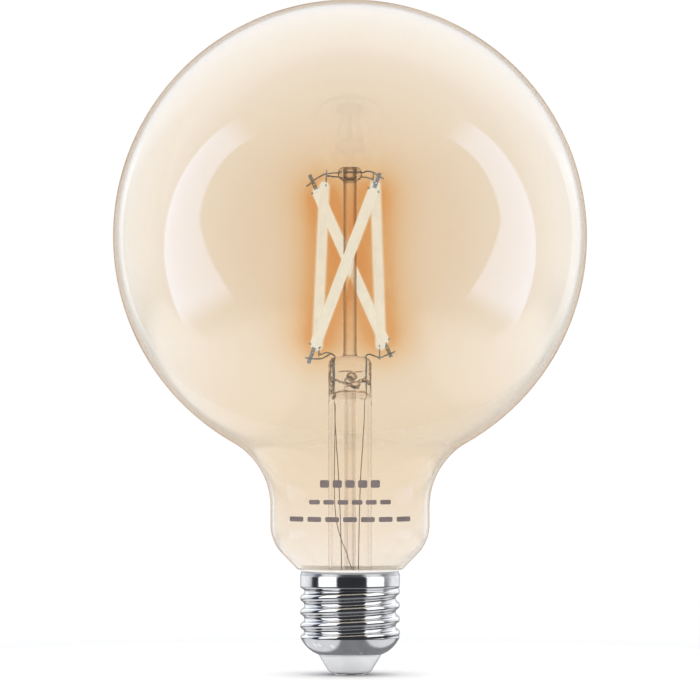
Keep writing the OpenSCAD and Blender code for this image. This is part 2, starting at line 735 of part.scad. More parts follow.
globe();
flare_tube();
stem_press();
exhaust_tube();
stem_rod();
top_bead();
warm_bridge();
cool_bridge();
warm_lead();
cool_lead();
common_lead();
filament_strip(left);  // left_strip
filament_chips(left);  // left_chips
filament_coat(left);  // left_coat
filament_tabs(left);  // left_tabs
filament_strip(right);  // right_strip
filament_chips(right);  // right_chips
filament_coat(right);  // right_coat
filament_tabs(right);  // right_tabs
filament_strip(front);  // front_strip
filament_chips(front);  // front_chips
filament_coat(front);  // front_coat
filament_tabs(front);  // front_tabs
filament_strip(back);  // back_strip
filament_chips(back);  // back_chips
filament_coat(back);  // back_coat
filament_tabs(back);  // back_tabs
screw_shell();
cap_insulator();
centre_contact();
contact_solder();
cap_cement();
driver_sleeve();
driver_board();
bulk_capacitor();
bridge_rectifier();
driver_chips();
fusible_resistor();
filter_inductor();
inductor_winding();
varistor();
small_capacitors();
small_resistors();
radio_board();
radio_chip();
radio_shield();
crystal();
header_pins();
antenna();
line_wire();
neutral_wire();
printed_mark();
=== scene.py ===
import math

import bmesh
import bpy
import numpy as np
from mathutils import Matrix, Vector, noise


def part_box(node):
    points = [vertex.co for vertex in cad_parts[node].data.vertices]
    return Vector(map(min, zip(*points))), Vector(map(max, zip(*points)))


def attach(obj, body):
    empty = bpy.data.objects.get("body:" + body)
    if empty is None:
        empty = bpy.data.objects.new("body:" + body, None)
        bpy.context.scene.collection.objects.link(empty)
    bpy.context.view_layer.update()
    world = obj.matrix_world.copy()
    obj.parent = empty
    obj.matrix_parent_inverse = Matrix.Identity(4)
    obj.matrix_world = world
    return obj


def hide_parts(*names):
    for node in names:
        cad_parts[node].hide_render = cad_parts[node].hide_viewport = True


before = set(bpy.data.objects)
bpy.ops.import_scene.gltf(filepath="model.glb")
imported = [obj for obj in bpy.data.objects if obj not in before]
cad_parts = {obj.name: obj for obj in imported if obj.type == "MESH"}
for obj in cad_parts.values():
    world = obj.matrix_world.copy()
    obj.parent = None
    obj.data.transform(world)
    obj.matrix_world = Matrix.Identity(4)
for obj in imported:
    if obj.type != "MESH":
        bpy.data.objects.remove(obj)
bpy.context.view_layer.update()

MM = 0.001
scene = bpy.context.scene
# Without a seed, the noise that shapes the glass would follow the clock.
noise.seed_set(8)


# ---------------------------------------------------------------- CAD places

def cad_box(node):
    lo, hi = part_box(node)
    return np.array(lo) / MM, np.array(hi) / MM


def cad_points(node):
    """Vertices of a CAD node in mm, with the ones shared by several faces kept once."""
    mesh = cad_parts[node].data
    co = np.zeros(len(mesh.vertices) * 3, np.float32)
    mesh.vertices.foreach_get("co", co)
    return np.unique(np.round(co.reshape(-1, 3) / MM, 3), axis=0).astype(float)


def cad_bmesh(node):
    """A welded copy of a CAD node's mesh, in mm."""
    bm = bmesh.new()
    bm.from_mesh(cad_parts[node].data)
    bmesh.ops.scale(bm, vec=(1 / MM,) * 3, verts=bm.verts)
    bmesh.ops.remove_doubles(bm, verts=bm.verts, dist=2e-3)
    return bm


globe_lo, globe_hi = cad_box("globe")
shell_lo, shell_hi = cad_box("screw_shell")

# Sizes in mm, with heights from the foot of the bulb: first the globe, then the screw shell.
GLOBE_R = (globe_hi[0] - globe_lo[0]) / 2
TOP_Z = globe_hi[2]
CENTRE_Z = TOP_Z - GLOBE_R
SKIRT_Z = globe_lo[2]
WALL = 0.9
NECK_R = 21.0
FILLET_R = 19.5
SHOULDER_R, SHOULDER_Z, SHOULDER_A = 11.0, 39.5, 43.7
SKIRT_R = 11.4

CREST_R = (shell_hi[0] - shell_lo[0]) / 2
RIM_Z = shell_hi[2]
SEAT_Z = RIM_Z + 0.1
ROOT_R, PITCH, COLLAR_Z = 12.1, 3.629, 23.4
CREST_PHASE_Z = 18.3
SHEET = 0.3
DOME_R, DOME_CENTRE, DOME_HOLE_R, DOME_TOP_Z = 8.25, (5.5, 13.0), 8.2, 9.8


# ---------------------------------------------------------------- mesh helpers

def smooth_step(x):
    t = np.clip(x, 0, 1)
    return t * t * (3 - 2 * t)


def arc(centre, radius, a0, a1, n):
    a = np.radians(np.linspace(a0, a1, n + 1))
    return [(centre[0] + radius * math.cos(t), centre[1] + radius * math.sin(t)) for t in a]


def ring(r, z, count):
    if r < 1e-6:
        return np.array([[0.0, 0.0, z]])
    a = np.linspace(0, 2 * math.pi, count, endpoint=False)
    return np.stack([r * np.cos(a), r * np.sin(a), np.full(count, z)], 1)


def skin(rings, closed=True):
    """Vertices and faces of a surface through rings of equal count. A ring of one point is a pole."""
    starts, verts = [], []
    for r in rings:
        starts.append(len(verts))
        verts.extend(r.tolist())
    count = max(len(r) for r in rings)
    faces = []
    for i in range(len(rings) if closed else len(rings) - 1):
        j = (i + 1) % len(rings)
        a, b = starts[i], starts[j]
        la, lb = len(rings[i]), len(rings[j])
        for k in range(count):
            n = (k + 1) % count
            if la == 1 and lb == 1:
                break
            if la == 1:
                faces.append((a, b + k, b + n))
            elif lb == 1:
                faces.append((a + n, a + k, b))
            else:
                faces.append((a + n, a + k, b + k, b + n))
    return verts, faces


def joined(*parts):
    verts, faces = [], []
    for v, f in parts:
        base = len(verts)
        verts.extend(v)
        faces.extend(tuple(i + base for i in face) for face in f)
    return verts, faces


def islands(items, neighbours):
    """Groups of items that hang together, in the order of the items."""
    left, groups = set(items), []
    for first in items:
        if first not in left:
            continue
        left.discard(first)
        todo, found = [first], [first]
        while todo:
            for other in neighbours(todo.pop()):
                if other in left:
                    left.discard(other)
                    found.append(other)
                    todo.append(other)
        groups.append(found)
    return groups


def next_verts(vert):
    return [v for e in vert.link_edges for v in e.verts]


def add_piece(name, shape, mats, replaces, sharp=None, flipped=(), face_mats=None):
    """A piece of the object from vertices in mm. flipped has the first vertex of each sealed hollow."""
    verts, faces = shape
    mesh = bpy.data.meshes.new(name)
    mesh.from_pydata([(x * MM, y * MM, z * MM) for x, y, z in verts], [], faces)
    bm = bmesh.new()
    bm.from_mesh(mesh)
    bmesh.ops.recalc_face_normals(bm, faces=bm.faces)
    if flipped:
        for island in islands(bm.verts, next_verts):
            if any(v.index in flipped for v in island):
                bmesh.ops.reverse_faces(bm, faces=list({f for v in island for f in v.link_faces}))
    bm.to_mesh(mesh)
    bm.free()
    mesh.shade_smooth()
    if sharp:
        mesh.set_sharp_from_angle(angle=math.radians(sharp))
    for m in mats if isinstance(mats, (list, tuple)) else [mats]:
        mesh.materials.append(m)
    if face_mats is not None:
        mesh.polygons.foreach_set("material_index", face_mats)
    obj = bpy.data.objects.new(name, mesh)
    scene.collection.objects.link(obj)
    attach(obj, "root")
    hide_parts(*replaces)


def lathe(loop, count, closed=True):
    return skin([ring(r, z, count) for r, z in loop], closed)


def spline(points, step):
    """Catmull-Rom curve through points, about one point in each step of length."""
    p = np.asarray(points, float)
    ext = np.vstack([2 * p[0] - p[1], p, 2 * p[-1] - p[-2]])
    out = []
    for i in range(len(p) - 1):
        a, b, c, d = ext[i:i + 4]
        n = max(1, int(round(np.linalg.norm(c - b) / step)))
        for k in range(n):
            t = k / n
            out.append(0.5 * (2 * b + (c - a) * t + (2 * a - 5 * b + 4 * c - d) * t ** 2
                              + (3 * b - a - 3 * c + d) * t ** 3))
    out.append(p[-1])
    return np.array(out)


def tube(path, radius, sides=12):
    """Closed round tube along a path, with rounded ends. radius is a number or one for each point."""
    p = np.asarray(path, float)
    r = np.broadcast_to(np.asarray(radius, float), (len(p),))
    t = np.gradient(p, axis=0)
    t /= np.linalg.norm(t, axis=1)[:, None]
    side = np.cross(t[0], [0.0, 0.0, 1.0] if abs(t[0][2]) < 0.9 else [1.0, 0.0, 0.0])
    a = np.linspace(0, 2 * math.pi, sides, endpoint=False)
    rings = []
    for i in range(len(p)):
        side = side - t[i] * (side @ t[i])
        side /= np.linalg.norm(side)
        up = np.cross(t[i], side)
        hoop = np.outer(np.cos(a), side) + np.outer(np.sin(a), up)
        if i == 0:
            rings += [(p[0] - t[0] * r[0] * 0.8)[None], p[0] - t[0] * r[0] * 0.55 + hoop * r[0] * 0.75]
        rings.append(p[i] + hoop * r[i])
        if i == len(p) - 1:
            rings += [p[i] + t[i] * r[i] * 0.55 + hoop * r[i] * 0.75, (p[i] + t[i] * r[i] * 0.8)[None]]
    return skin(rings, closed=False)


WIRE_SIDES = 8


def centreline(node):
    """Centreline of a CAD wire, from the rings of points that its mesh is made of."""
    bm = cad_bmesh(node)
    level = set()
    for start in bm.faces:
        # The flat end of a wire is a patch of faces in one plane that has one ring of points.
        patch, todo = {start}, [start]
        while todo:
            for f in [f for e in todo.pop().edges for f in e.link_faces if f not in patch]:
                offset = (f.verts[0].co - start.verts[0].co).dot(start.normal)
                if f.normal.dot(start.normal) > 0.9999 and abs(offset) < 1e-3:
                    patch.add(f)
                    todo.append(f)
        points = {v for f in patch for v in f.verts}
        if len(points) == WIRE_SIDES and len(patch) == WIRE_SIDES - 2:
            level = points
            break
    seen, centres = set(level), []
    while level:
        centres.append(sum((v.co for v in level), Vector()) / len(level))
        level = {w for v in level for e in v.link_edges for w in e.verts} - seen
        seen |= level
    bm.free()
    return np.array([tuple(c) for c in centres])


# ---------------------------------------------------------------- materials

class Formula:
    """Short names for building a node tree."""

    def __init__(self, tree):
        self.tree = tree
        tree.nodes.clear()

    def new(self, kind, **values):
        n = self.tree.nodes.new("ShaderNode" + kind)
        for k, v in values.items():
            setattr(n, k, v)
        return n

    def fill(self, socket, value):
        if isinstance(value, bpy.types.NodeSocket):
            self.tree.links.new(value, socket)
        else:
            socket.default_value = value

    def fill_all(self, node, values):
        for name, v in values.items():
            self.fill(node.inputs[name], v)

    def op(self, name, *args, clamp=False):
        n = self.new("Math", operation=name, use_clamp=clamp)
        for socket, v in zip(n.inputs, args):
            self.fill(socket, v)
        return n.outputs[0]

    def total(self, first, *more):
        for v in more:
            first = self.op("ADD", first, v)
        return first

    def times(self, first, *more):
        for v in more:
            first = self.op("MULTIPLY", first, v)
        return first

    def vec(self, name, *args, out=0):
        n = self.new("VectorMath", operation=name)
        for socket, v in zip(n.inputs, args):
            self.fill(socket, v)
        return n.outputs[out]

    def scaled(self, vector, factor):
        n = self.new("VectorMath", operation="SCALE")
        self.fill(n.inputs[0], vector)
        self.fill(n.inputs["Scale"], factor)
        return n.outputs[0]

    def map_range(self, value, from_lo, from_hi, to_lo, to_hi, **how):
        n = self.new("MapRange", **how)
        self.fill_all(n, {"Value": value, "From Min": from_lo, "From Max": from_hi,
                          "To Min": to_lo, "To Max": to_hi})
        return n.outputs["Result"]

    def step(self, value, lo, hi, out_lo=0.0, out_hi=1.0):
        return self.map_range(value, lo, hi, out_lo, out_hi, interpolation_type="SMOOTHSTEP")

    def mix(self, fac, a, b, blend="MIX"):
        """Mix of two colours, whose sockets come after those for numbers and vectors."""
        n = self.new("Mix", data_type="RGBA", blend_type=blend)
        for index, v in ((0, fac), (6, a), (7, b)):
            self.fill(n.inputs[index], v)
        return n.outputs[2]

    def distance_to_bar(self, point, a, b):
        """Distance from a point to the straight bar between a and b."""
        a, b = Vector(a), Vector(b)
        d = b - a
        rel = self.vec("SUBTRACT", point, tuple(a))
        t = self.op("DIVIDE", self.vec("DOT_PRODUCT", rel, tuple(d), out=1), d.length_squared, clamp=True)
        return self.vec("LENGTH", self.vec("SUBTRACT", rel, self.scaled(tuple(d), t)), out=1)


class Nodes(Formula):
    """A material with one shader."""

    def __init__(self, name):
        self.mat = bpy.data.materials.new(name)
        self.mat.use_nodes = True
        super().__init__(self.mat.node_tree)
        self.bsdf = self.new("BsdfPrincipled")
        self.fill(self.new("OutputMaterial").inputs["Surface"], self.bsdf.outputs[0])
        self.coords = self.new("TexCoord").outputs["Object"]

    def noise(self, scale, detail=4.0, rough=0.55, stretch=None):
        source = self.coords
        if stretch:
            m = self.new("Mapping")
            self.fill_all(m, {"Vector": source, "Scale": stretch})
            source = m.outputs[0]
        n = self.new("TexNoise")
        self.fill_all(n, {"Vector": source, "Scale": scale, "Detail": detail, "Roughness": rough})
        return n.outputs["Fac"]

    def ramp(self, fac, stops):
        n = self.new("ValToRGB")
        e = n.color_ramp.elements
        while len(e) < len(stops):
            e.new(0.5)
        for item, (pos, col) in zip(e, stops):
            item.position = pos
            item.color = (*col, 1)
        self.fill(n.inputs["Fac"], fac)
        return n.outputs["Color"]

    def range(self, fac, lo, hi, from_lo=0.3, from_hi=0.7):
        return self.map_range(fac, from_lo, from_hi, lo, hi)

    def facing(self):
        """0 where the surface faces the ray and 1 where it is edge-on."""
        n = self.new("LayerWeight")
        n.inputs["Blend"].default_value = 0.5
        return n.outputs["Facing"]

    def bump(self, height, strength, distance):
        n = self.new("Bump")
        self.fill_all(n, {"Height": height, "Strength": strength, "Distance": distance})
        self.fill(self.bsdf.inputs["Normal"], n.outputs["Normal"])

    def put(self, **values):
        for k, v in values.items():
            v = (*v, 1) if isinstance(v, tuple) and len(v) == 3 else v
            self.fill(self.bsdf.inputs[k.replace("_", " ")], v)


def surface(name, dark, light, rough=(0.3, 0.5), metallic=0.0, scale=900.0, bump=0.15,
            depth=2e-5, stretch=None, **more):
    """Everyday material: colour between dark and light, uneven roughness and a fine bump."""
    n = Nodes(name)
    grain = n.noise(scale, stretch=stretch)
    patch = n.noise(scale * 0.18, detail=3.0)
    n.put(Base_Color=n.ramp(patch, [(0.3, dark), (0.7, light)]),
          Roughness=n.range(grain, *rough), Metallic=metallic, **more)
    n.bump(grain, bump, depth)
    return n.mat


def glass_with_painted_edge_shade(name, stops, shine=1.0):
    """Clear glass that darkens from face-on to grazing, partly for the longer path through a drawn or
    blown wall and partly as painted shade along its outline.
    """
    n = Nodes(name)
    n.put(Base_Color=n.ramp(n.facing(), stops), Roughness=0.0, IOR=GLASS_IOR,
          Transmission_Weight=1.0, Specular_Tint=(shine,) * 3)
    return n.mat


def globe_glass():
    """Amber glass with a painted glow of the lit filaments in its colour. On the sphere the colour goes by
    angle, and on the neck by height, where reflections are also weaker.
    """
    n = Nodes("globe_glass")
    facing = n.facing()
    split = n.new("SeparateXYZ")
    n.fill(split.inputs[0], n.coords)
    height = n.range(split.outputs["Z"], 0.0, 1.0, SKIRT_Z * MM, TOP_Z * MM)
    # Tan is deepest face-on in the middle of the sphere and high on the neck: partly amber glass, partly
    # painted glow.
    sphere = n.ramp(facing, [
        (0.0, (0.885, 0.775, 0.645)), (0.09, (0.893, 0.79, 0.662)), (0.16, (0.92, 0.84, 0.74)),
        (0.23, (0.937, 0.885, 0.80)), (0.43, (0.972, 0.927, 0.864)), (0.7, (0.975, 0.945, 0.9)),
        (0.9, (0.93, 0.89, 0.845)), (1.0, (0.86, 0.83, 0.785))])
    neck = n.ramp(height, [
        (0.069, (0.94, 0.885, 0.81)), (0.105, (0.933, 0.868, 0.781)), (0.168, (0.917, 0.833, 0.726)),
        (0.218, (0.907, 0.82, 0.70)), (0.293, (0.898, 0.803, 0.672)), (0.36, (0.896, 0.797, 0.666))])
    # A little lighter towards the neck's outline as painted light, and darker at the very edge.
    neck_edge = n.ramp(facing, [(0.2, (1, 1, 1)), (0.7, (1.0, 1.01, 1.03)), (1.0, (0.86, 0.85, 0.84))])
    # The sphere's colour, painted glow included, starts lower on the sides than in the middle.
    sides = n.times(n.range(facing, 0.0, 1.0, 0.45, 0.72), n.range(height, 0.0, 1.0, 0.25, 0.33))
    on_sphere = n.op("MAXIMUM", sides, n.range(height, 0.0, 1.0, 0.29, 0.43))
    tint = n.mix(on_sphere, n.mix(1.0, neck, neck_edge, "MULTIPLY"), sphere)
    n.put(Base_Color=tint, Roughness=0.0, IOR=GLASS_IOR, Transmission_Weight=1.0,
          Specular_Tint=n.ramp(height, [(0.26, (0.15,) * 3), (0.38, (1, 1, 1))]))
    n.bump(n.noise(38.0, detail=1.0), 0.05, 4e-4)
    return n.mat


GLASS_IOR = 1.5
GLOBE_GLASS_PAINTED_GLOW = globe_glass()
# White of the cement in the glass foot, with a faint glow that is painted light.
SEAT_WHITE_PAINTED_LIGHT = surface("seat_white", (0.80, 0.79, 0.77), (0.88, 0.87, 0.85), (0.35, 0.55), bump=0.1,
                     Emission_Color=(1.0, 0.97, 0.92), Emission_Strength=0.3)
# The stem glasses carry painted shade that darkens them towards their outlines, and the bubbles darkest of
# all.
ROD_GLASS = glass_with_painted_edge_shade(
    "rod_glass",
    [(0.0, (0.96, 0.93, 0.9)), (0.07, (0.93, 0.89, 0.85)), (0.17, (0.66, 0.57, 0.51)),
     (0.3, (0.34, 0.265, 0.22)), (1.0, (0.12, 0.09, 0.07))])
FLARE_GLASS = glass_with_painted_edge_shade(
    "flare_glass",
    [(0.0, (1.0, 0.995, 0.99)), (0.55, (0.985, 0.972, 0.96)), (0.78, (0.74, 0.68, 0.62)),
     (0.9, (0.32, 0.265, 0.225)), (1.0, (0.16, 0.125, 0.1))], shine=0.35)
EXHAUST_GLASS = glass_with_painted_edge_shade(
    "exhaust_glass",
    [(0.0, (1.0, 0.995, 0.99)), (0.1, (0.985, 0.97, 0.955)), (0.18, (0.9, 0.85, 0.82)),
     (0.4, (0.84, 0.78, 0.74)), (0.8, (0.66, 0.58, 0.53)), (1.0, (0.42, 0.35, 0.31))], shine=0.35)
PRESS_GLASS = glass_with_painted_edge_shade(
    "press_glass",
    [(0.0, (0.96, 0.93, 0.9)), (0.3, (0.9, 0.86, 0.81)), (0.55, (0.5, 0.42, 0.36)),
     (1.0, (0.2, 0.155, 0.125))])
VOID_GLASS = glass_with_painted_edge_shade(
    "void_glass",
    [(0.0, (0.97, 0.94, 0.91)), (0.08, (0.76, 0.69, 0.62)), (0.22, (0.3, 0.235, 0.19)),
     (1.0, (0.11, 0.08, 0.06))])
LEAD_WIRE = surface("lead_wire", (0.24, 0.34, 0.52), (0.35, 0.48, 0.70), (0.3, 0.5), 0.9, 2500)
SEAL_WIRE = surface("seal_wire", (0.36, 0.32, 0.29), (0.5, 0.45, 0.41), (0.35, 0.55), 0.6, 2500)
TAB_METAL = surface("tab_metal", (0.27, 0.41, 0.66), (0.37, 0.53, 0.8), (0.28, 0.45), 0.9, 2500)


def nickel_plate(name, rough, dark=(0.60, 0.605, 0.62), light=(0.70, 0.705, 0.715)):
    """Bright plated metal whose colour is lighter on sharp convex edges."""
    n = Nodes(name)
    grain = n.noise(2600, stretch=(1, 1, 6))
    cloud = n.noise(420, detail=3.0)
    on_sharp_edges = n.range(n.new("NewGeometry").outputs["Pointiness"], 0.0, 1.0, 0.5, 0.56)
    edge_colour = (*(1.17 * c for c in light), 1)
    n.put(Base_Color=n.mix(on_sharp_edges, n.ramp(cloud, [(0.3, dark), (0.7, light)]), edge_colour), Metallic=1.0,
          Roughness=n.range(grain, *rough))
    n.bump(grain, 0.03, 1e-5)
    return n.mat


NICKEL = nickel_plate("nickel_plate", (0.08, 0.14))
NICKEL_RIM = nickel_plate("nickel_rim", (0.16, 0.24), (0.38, 0.385, 0.4), (0.46, 0.465, 0.48))
INSULATOR = surface("insulator_glass", (0.84, 0.845, 0.86), (0.91, 0.915, 0.93), (0.12, 0.22),
                    scale=500, bump=0.06, Coat_Weight=0.6, Coat_Roughness=0.06)
SOLDER = surface("solder", (0.45, 0.45, 0.46), (0.62, 0.62, 0.63), (0.25, 0.45), 1.0, 900, 0.3, 6e-5)
CEMENT = surface("cement", (0.62, 0.55, 0.46), (0.74, 0.68, 0.58), (0.75, 0.95), 0.0, 700, 0.5, 1e-4)
SLEEVE = surface("sleeve_plastic", (0.78, 0.77, 0.72), (0.84, 0.83, 0.79), (0.4, 0.55))
BOARD = surface("board_green", (0.02, 0.13, 0.05), (0.03, 0.2, 0.075), (0.3, 0.45), Coat_Weight=0.3)
CASE_BLUE = surface("capacitor_case", (0.012, 0.018, 0.08), (0.02, 0.03, 0.13), (0.25, 0.4))
CHIP_BLACK = surface("chip_black", (0.012, 0.012, 0.013), (0.03, 0.03, 0.032), (0.5, 0.7))
RESISTOR = surface("resistor_body", (0.2, 0.26, 0.1), (0.28, 0.34, 0.14), (0.35, 0.5))
FERRITE = surface("ferrite", (0.03, 0.03, 0.032), (0.06, 0.06, 0.062), (0.6, 0.85), bump=0.4)
COPPER = surface("copper_wire", (0.5, 0.2, 0.08), (0.75, 0.34, 0.16), (0.22, 0.4), 1.0,
                 scale=1200, bump=0.4, stretch=(1, 1, 5))
VARISTOR = surface("varistor_blue", (0.02, 0.1, 0.3), (0.03, 0.15, 0.42), (0.35, 0.5), bump=0.3)
CERAMIC = surface("ceramic_tan", (0.45, 0.33, 0.2), (0.58, 0.44, 0.28), (0.4, 0.6))
GOLD = surface("gold_pin", (0.75, 0.5, 0.16), (0.9, 0.66, 0.28), (0.2, 0.35), 1.0)
WIRE_RED = surface("wire_red", (0.4, 0.02, 0.02), (0.55, 0.03, 0.03), (0.35, 0.5))
WIRE_BLUE = surface("wire_blue", (0.03, 0.09, 0.4), (0.04, 0.13, 0.52), (0.35, 0.5))
TIN = surface("tinned_lead", (0.5, 0.5, 0.52), (0.68, 0.68, 0.7), (0.25, 0.4), 1.0)
INK = surface("grey_ink", (0.19, 0.15, 0.145), (0.25, 0.205, 0.195), (0.55, 0.75), scale=1500)
STRIP = surface("strip_ceramic", (0.75, 0.74, 0.7), (0.85, 0.84, 0.8), (0.4, 0.6))
LED_CHIP = surface("led_chip", (0.05, 0.1, 0.4), (0.1, 0.2, 0.6), (0.15, 0.3))


def lit_coat(name, glow, body):
    """Phosphor coat that gives off its own light."""
    n = Nodes(name)
    grain = n.noise(1500)
    cloud = n.noise(260, detail=2.0)
    n.put(Base_Color=n.ramp(cloud, [(0.3, tuple(0.9 * c for c in body)), (0.7, body)]),
          Emission_Color=n.ramp(cloud, [(0.3, tuple(0.94 * c for c in glow)), (0.7, glow)]),
          Roughness=n.range(grain, 0.5, 0.75), Emission_Strength=1.0)
    n.bump(grain, 0.25, 4e-5)
    return n.mat


WARM_COAT = lit_coat("warm_coat", (0.83, 0.87, 0.84), (0.25, 0.23, 0.18))
COOL_COAT = lit_coat("cool_coat", (0.83, 0.89, 0.87), (0.25, 0.235, 0.2))


# ---------------------------------------------------------------- globe

def globe_outline(inset):
    """Profile from the top of the sphere over the neck to the foot of the shoulder."""
    centre_r = NECK_R + FILLET_R
    fillet_z = CENTRE_Z - math.sqrt((GLOBE_R + FILLET_R) ** 2 - centre_r ** 2)
    join = math.degrees(math.atan2(fillet_z - CENTRE_Z, centre_r))
    shoulder = (NECK_R - SHOULDER_R, SHOULDER_Z)
    return (arc((0, CENTRE_Z), GLOBE_R - inset, 90, join, 120)
            + arc((centre_r, fillet_z), FILLET_R + inset, join + 180, 180, 28)[1:]
            + arc(shoulder, SHOULDER_R - inset, 0, -SHOULDER_A, 18))


def spread(points, step):
    """Adds points on the straight parts of a profile, so that faces stay short."""
    out = [points[0]]
    for a, b in zip(points, points[1:]):
        n = max(1, math.ceil(math.dist(a, b) / step))
        out += [(a[0] + (b[0] - a[0]) * k / n, a[1] + (b[1] - a[1]) * k / n) for k in range(1, n + 1)]
    return out


def inside_of(line, distance):
    """A profile moved inwards, to the right of its direction."""
    p = np.array(line)
    d = np.gradient(p, axis=0)
    d /= np.linalg.norm(d, axis=1)[:, None]
    return [tuple(q) for q in p + np.stack([d[:, 1], -d[:, 0]], 1) * distance]


def globe_shape():
    outer = globe_outline(0)
    low = outer[-1]
    cone = low[0] - (low[1] - RIM_Z) * math.tan(math.radians(SHOULDER_A))
    seat = [(cone + 0.35, RIM_Z + 0.45), (cone - 0.1, SEAT_Z + 0.07), (CREST_R - 0.5, SEAT_Z - 0.05),
            (CREST_R - 1.0, SEAT_Z - 0.5), (SKIRT_R + 0.25, SEAT_Z - 1.3), (SKIRT_R, SEAT_Z - 2.2),
            (SKIRT_R, SKIRT_Z + 0.4)]
    foot = spread([low] + seat, 0.5)
    inner_foot = inside_of(spline(foot, 0.5), WALL)[2:]
    inner = globe_outline(WALL) + inner_foot
    outer += foot[1:] + [(SKIRT_R - 0.3, SKIRT_Z)]
    outer[0] = (0.0, outer[0][1])
    inner[0] = (0.0, inner[0][1])
    return lathe(spread(outer, 1.6) + spread(inner, 1.6)[::-1], 192)


globe = globe_shape()
# The foot of the glass is white where it sits in the cement, and glows faintly there as painted light over
# the shade inside the cap.
in_cement = [int(max(globe[0][i][2] for i in face) < RIM_Z + 0.5) for face in globe[1]]
add_piece("glass_globe", globe, [GLOBE_GLASS_PAINTED_GLOW, SEAT_WHITE_PAINTED_LIGHT], ["globe"], sharp=50,
          face_mats=in_cement)


# ---------------------------------------------------------------- screw shell

def thread_wave(t):
    """Height of the rolled thread over turns, from -1 in a root to 1 on a crest, all of round arcs."""
    half_flank = math.atan2(CREST_R - ROOT_R, PITCH / 2)
    arc_r = PITCH / 4 / math.sin(2 * half_flank)
    u = np.abs(t - np.round(t))
    from_peak = np.where(u < 0.25, u, 0.5 - u) * PITCH
    height = (CREST_R - ROOT_R) / 2 - (arc_r - np.sqrt(arc_r ** 2 - from_peak ** 2))
    return np.where(u < 0.25, 1, -1) * height / ((CREST_R - ROOT_R) / 2)


def band_r(turn, z):
    """Radius of the threaded band, which runs out into the collar above and the dome below."""
    threaded = ROOT_R + (CREST_R - ROOT_R) * (thread_wave((z - CREST_PHASE_Z) / PITCH - turn) + 1) / 2
    collar = smooth_step((z - COLLAR_Z + 1.2) / 1.2)
    dome = smooth_step((DOME_TOP_Z + 1.4 - z) / 1.4)
    r = threaded + (CREST_R - threaded) * collar
    return r + (CREST_R - 0.1 - r) * dome


ROLL_H, ROLL_STEPS = 1.15, 12


def screw_shell_shape():
    count, rows = 192, 130
    turn = np.arange(count) / count
    low_a = -math.degrees(math.acos((DOME_HOLE_R - DOME_CENTRE[0]) / DOME_R))
    high_a = math.degrees(math.asin((DOME_TOP_Z - DOME_CENTRE[1]) / DOME_R))
    dome = arc(DOME_CENTRE, DOME_R, low_a + 1, high_a - 1, 22)
    band = [(None, z) for z in np.linspace(DOME_TOP_Z, COLLAR_Z, rows)]
    roll_z = RIM_Z - ROLL_H
    roll_line = np.array([(0, 0.02), (-0.02, 0.12), (-0.08, 0.24), (-0.24, 0.62), (-0.4, 1.0),
                          (-0.5, 1.11), (-0.64, ROLL_H)])
    along_roll = np.append(0, np.cumsum(np.linalg.norm(np.diff(roll_line, axis=0), axis=1)))
    steps = np.linspace(0, along_roll[-1], ROLL_STEPS)
    roll = list(zip(CREST_R + np.interp(steps, along_roll, roll_line[:, 0]),
                    roll_z + np.interp(steps, along_roll, roll_line[:, 1])))
    crease = [(CREST_R, roll_z - 0.14), (CREST_R - 0.05, roll_z - 0.06), (CREST_R - 0.05, roll_z)]
    collar = [(CREST_R, z) for z in np.linspace(COLLAR_Z + 0.3, roll_z - 0.2, 8)] + crease + roll
    outer = []
    for r, z in dome + band + collar:
        radius = band_r(turn, np.full(count, z)) if r is None else np.full(count, r)
        outer.append(np.stack([radius, np.full(count, z)], 1))
    line = np.array(outer)
    along = np.gradient(line, axis=0)
    along /= np.linalg.norm(along, axis=2)[:, :, None]
    inward = np.stack([-along[:, :, 1], along[:, :, 0]], 2)
    inner = line + inward * SHEET
    inner[-ROLL_STEPS:, :, 0] = np.linspace(CREST_R - SHEET - 0.05, CREST_R - 0.92, ROLL_STEPS)[:, None]
    inner[-ROLL_STEPS:, :, 1] = np.linspace(roll_z, RIM_Z - 0.08, ROLL_STEPS)[:, None]
    a = 2 * math.pi * turn
    rings = [np.stack([p[:, 0] * np.cos(a), p[:, 0] * np.sin(a), p[:, 1]], 1)
             for p in [*line, *inner[::-1]]]
    return skin(rings)


shell = screw_shell_shape()
on_rim = [int(min(shell[0][i][2] for i in face) > RIM_Z - ROLL_H + 0.01) for face in shell[1]]
add_piece("cap_shell", shell, [NICKEL, NICKEL_RIM], ["screw_shell"], sharp=70,
          face_mats=on_rim)


# ---------------------------------------------------------------- insulator and contact

contact_hi = cad_box("centre_contact")[1]
CONTACT_R, CONTACT_T = contact_hi[0], contact_hi[2]
INSULATOR_TOP = cad_box("cap_insulator")[1][2]


def insulator_shape():
    radius = DOME_R - SHEET - 0.04
    seat = arc(DOME_CENTRE, radius, -math.degrees(math.acos((DOME_HOLE_R - DOME_CENTRE[0]) / radius)),
               math.degrees(math.asin((INSULATOR_TOP - DOME_CENTRE[1]) / radius)), 12)
    foot = arc((4.62, 1.95), 1.5, -98, -24, 12)
    waist = arc((DOME_HOLE_R - 0.25, 4.95), 0.2, -30, 0, 4)
    pocket = [(0.8, CONTACT_T + 0.02), (CONTACT_R + 0.02, CONTACT_T + 0.02), (CONTACT_R + 0.02, 0.55),
              (CONTACT_R + 0.04, 0.5)]
    loop = (pocket + foot + [(DOME_HOLE_R - 0.5, 4.1)] + waist + [(DOME_HOLE_R - 0.04, seat[0][1])]
            + seat + [(0.8, INSULATOR_TOP)])
    return lathe(spread(loop, 1.0), 128)


add_piece("cap_insulator_ring", insulator_shape(), INSULATOR, ["cap_insulator"], sharp=40)

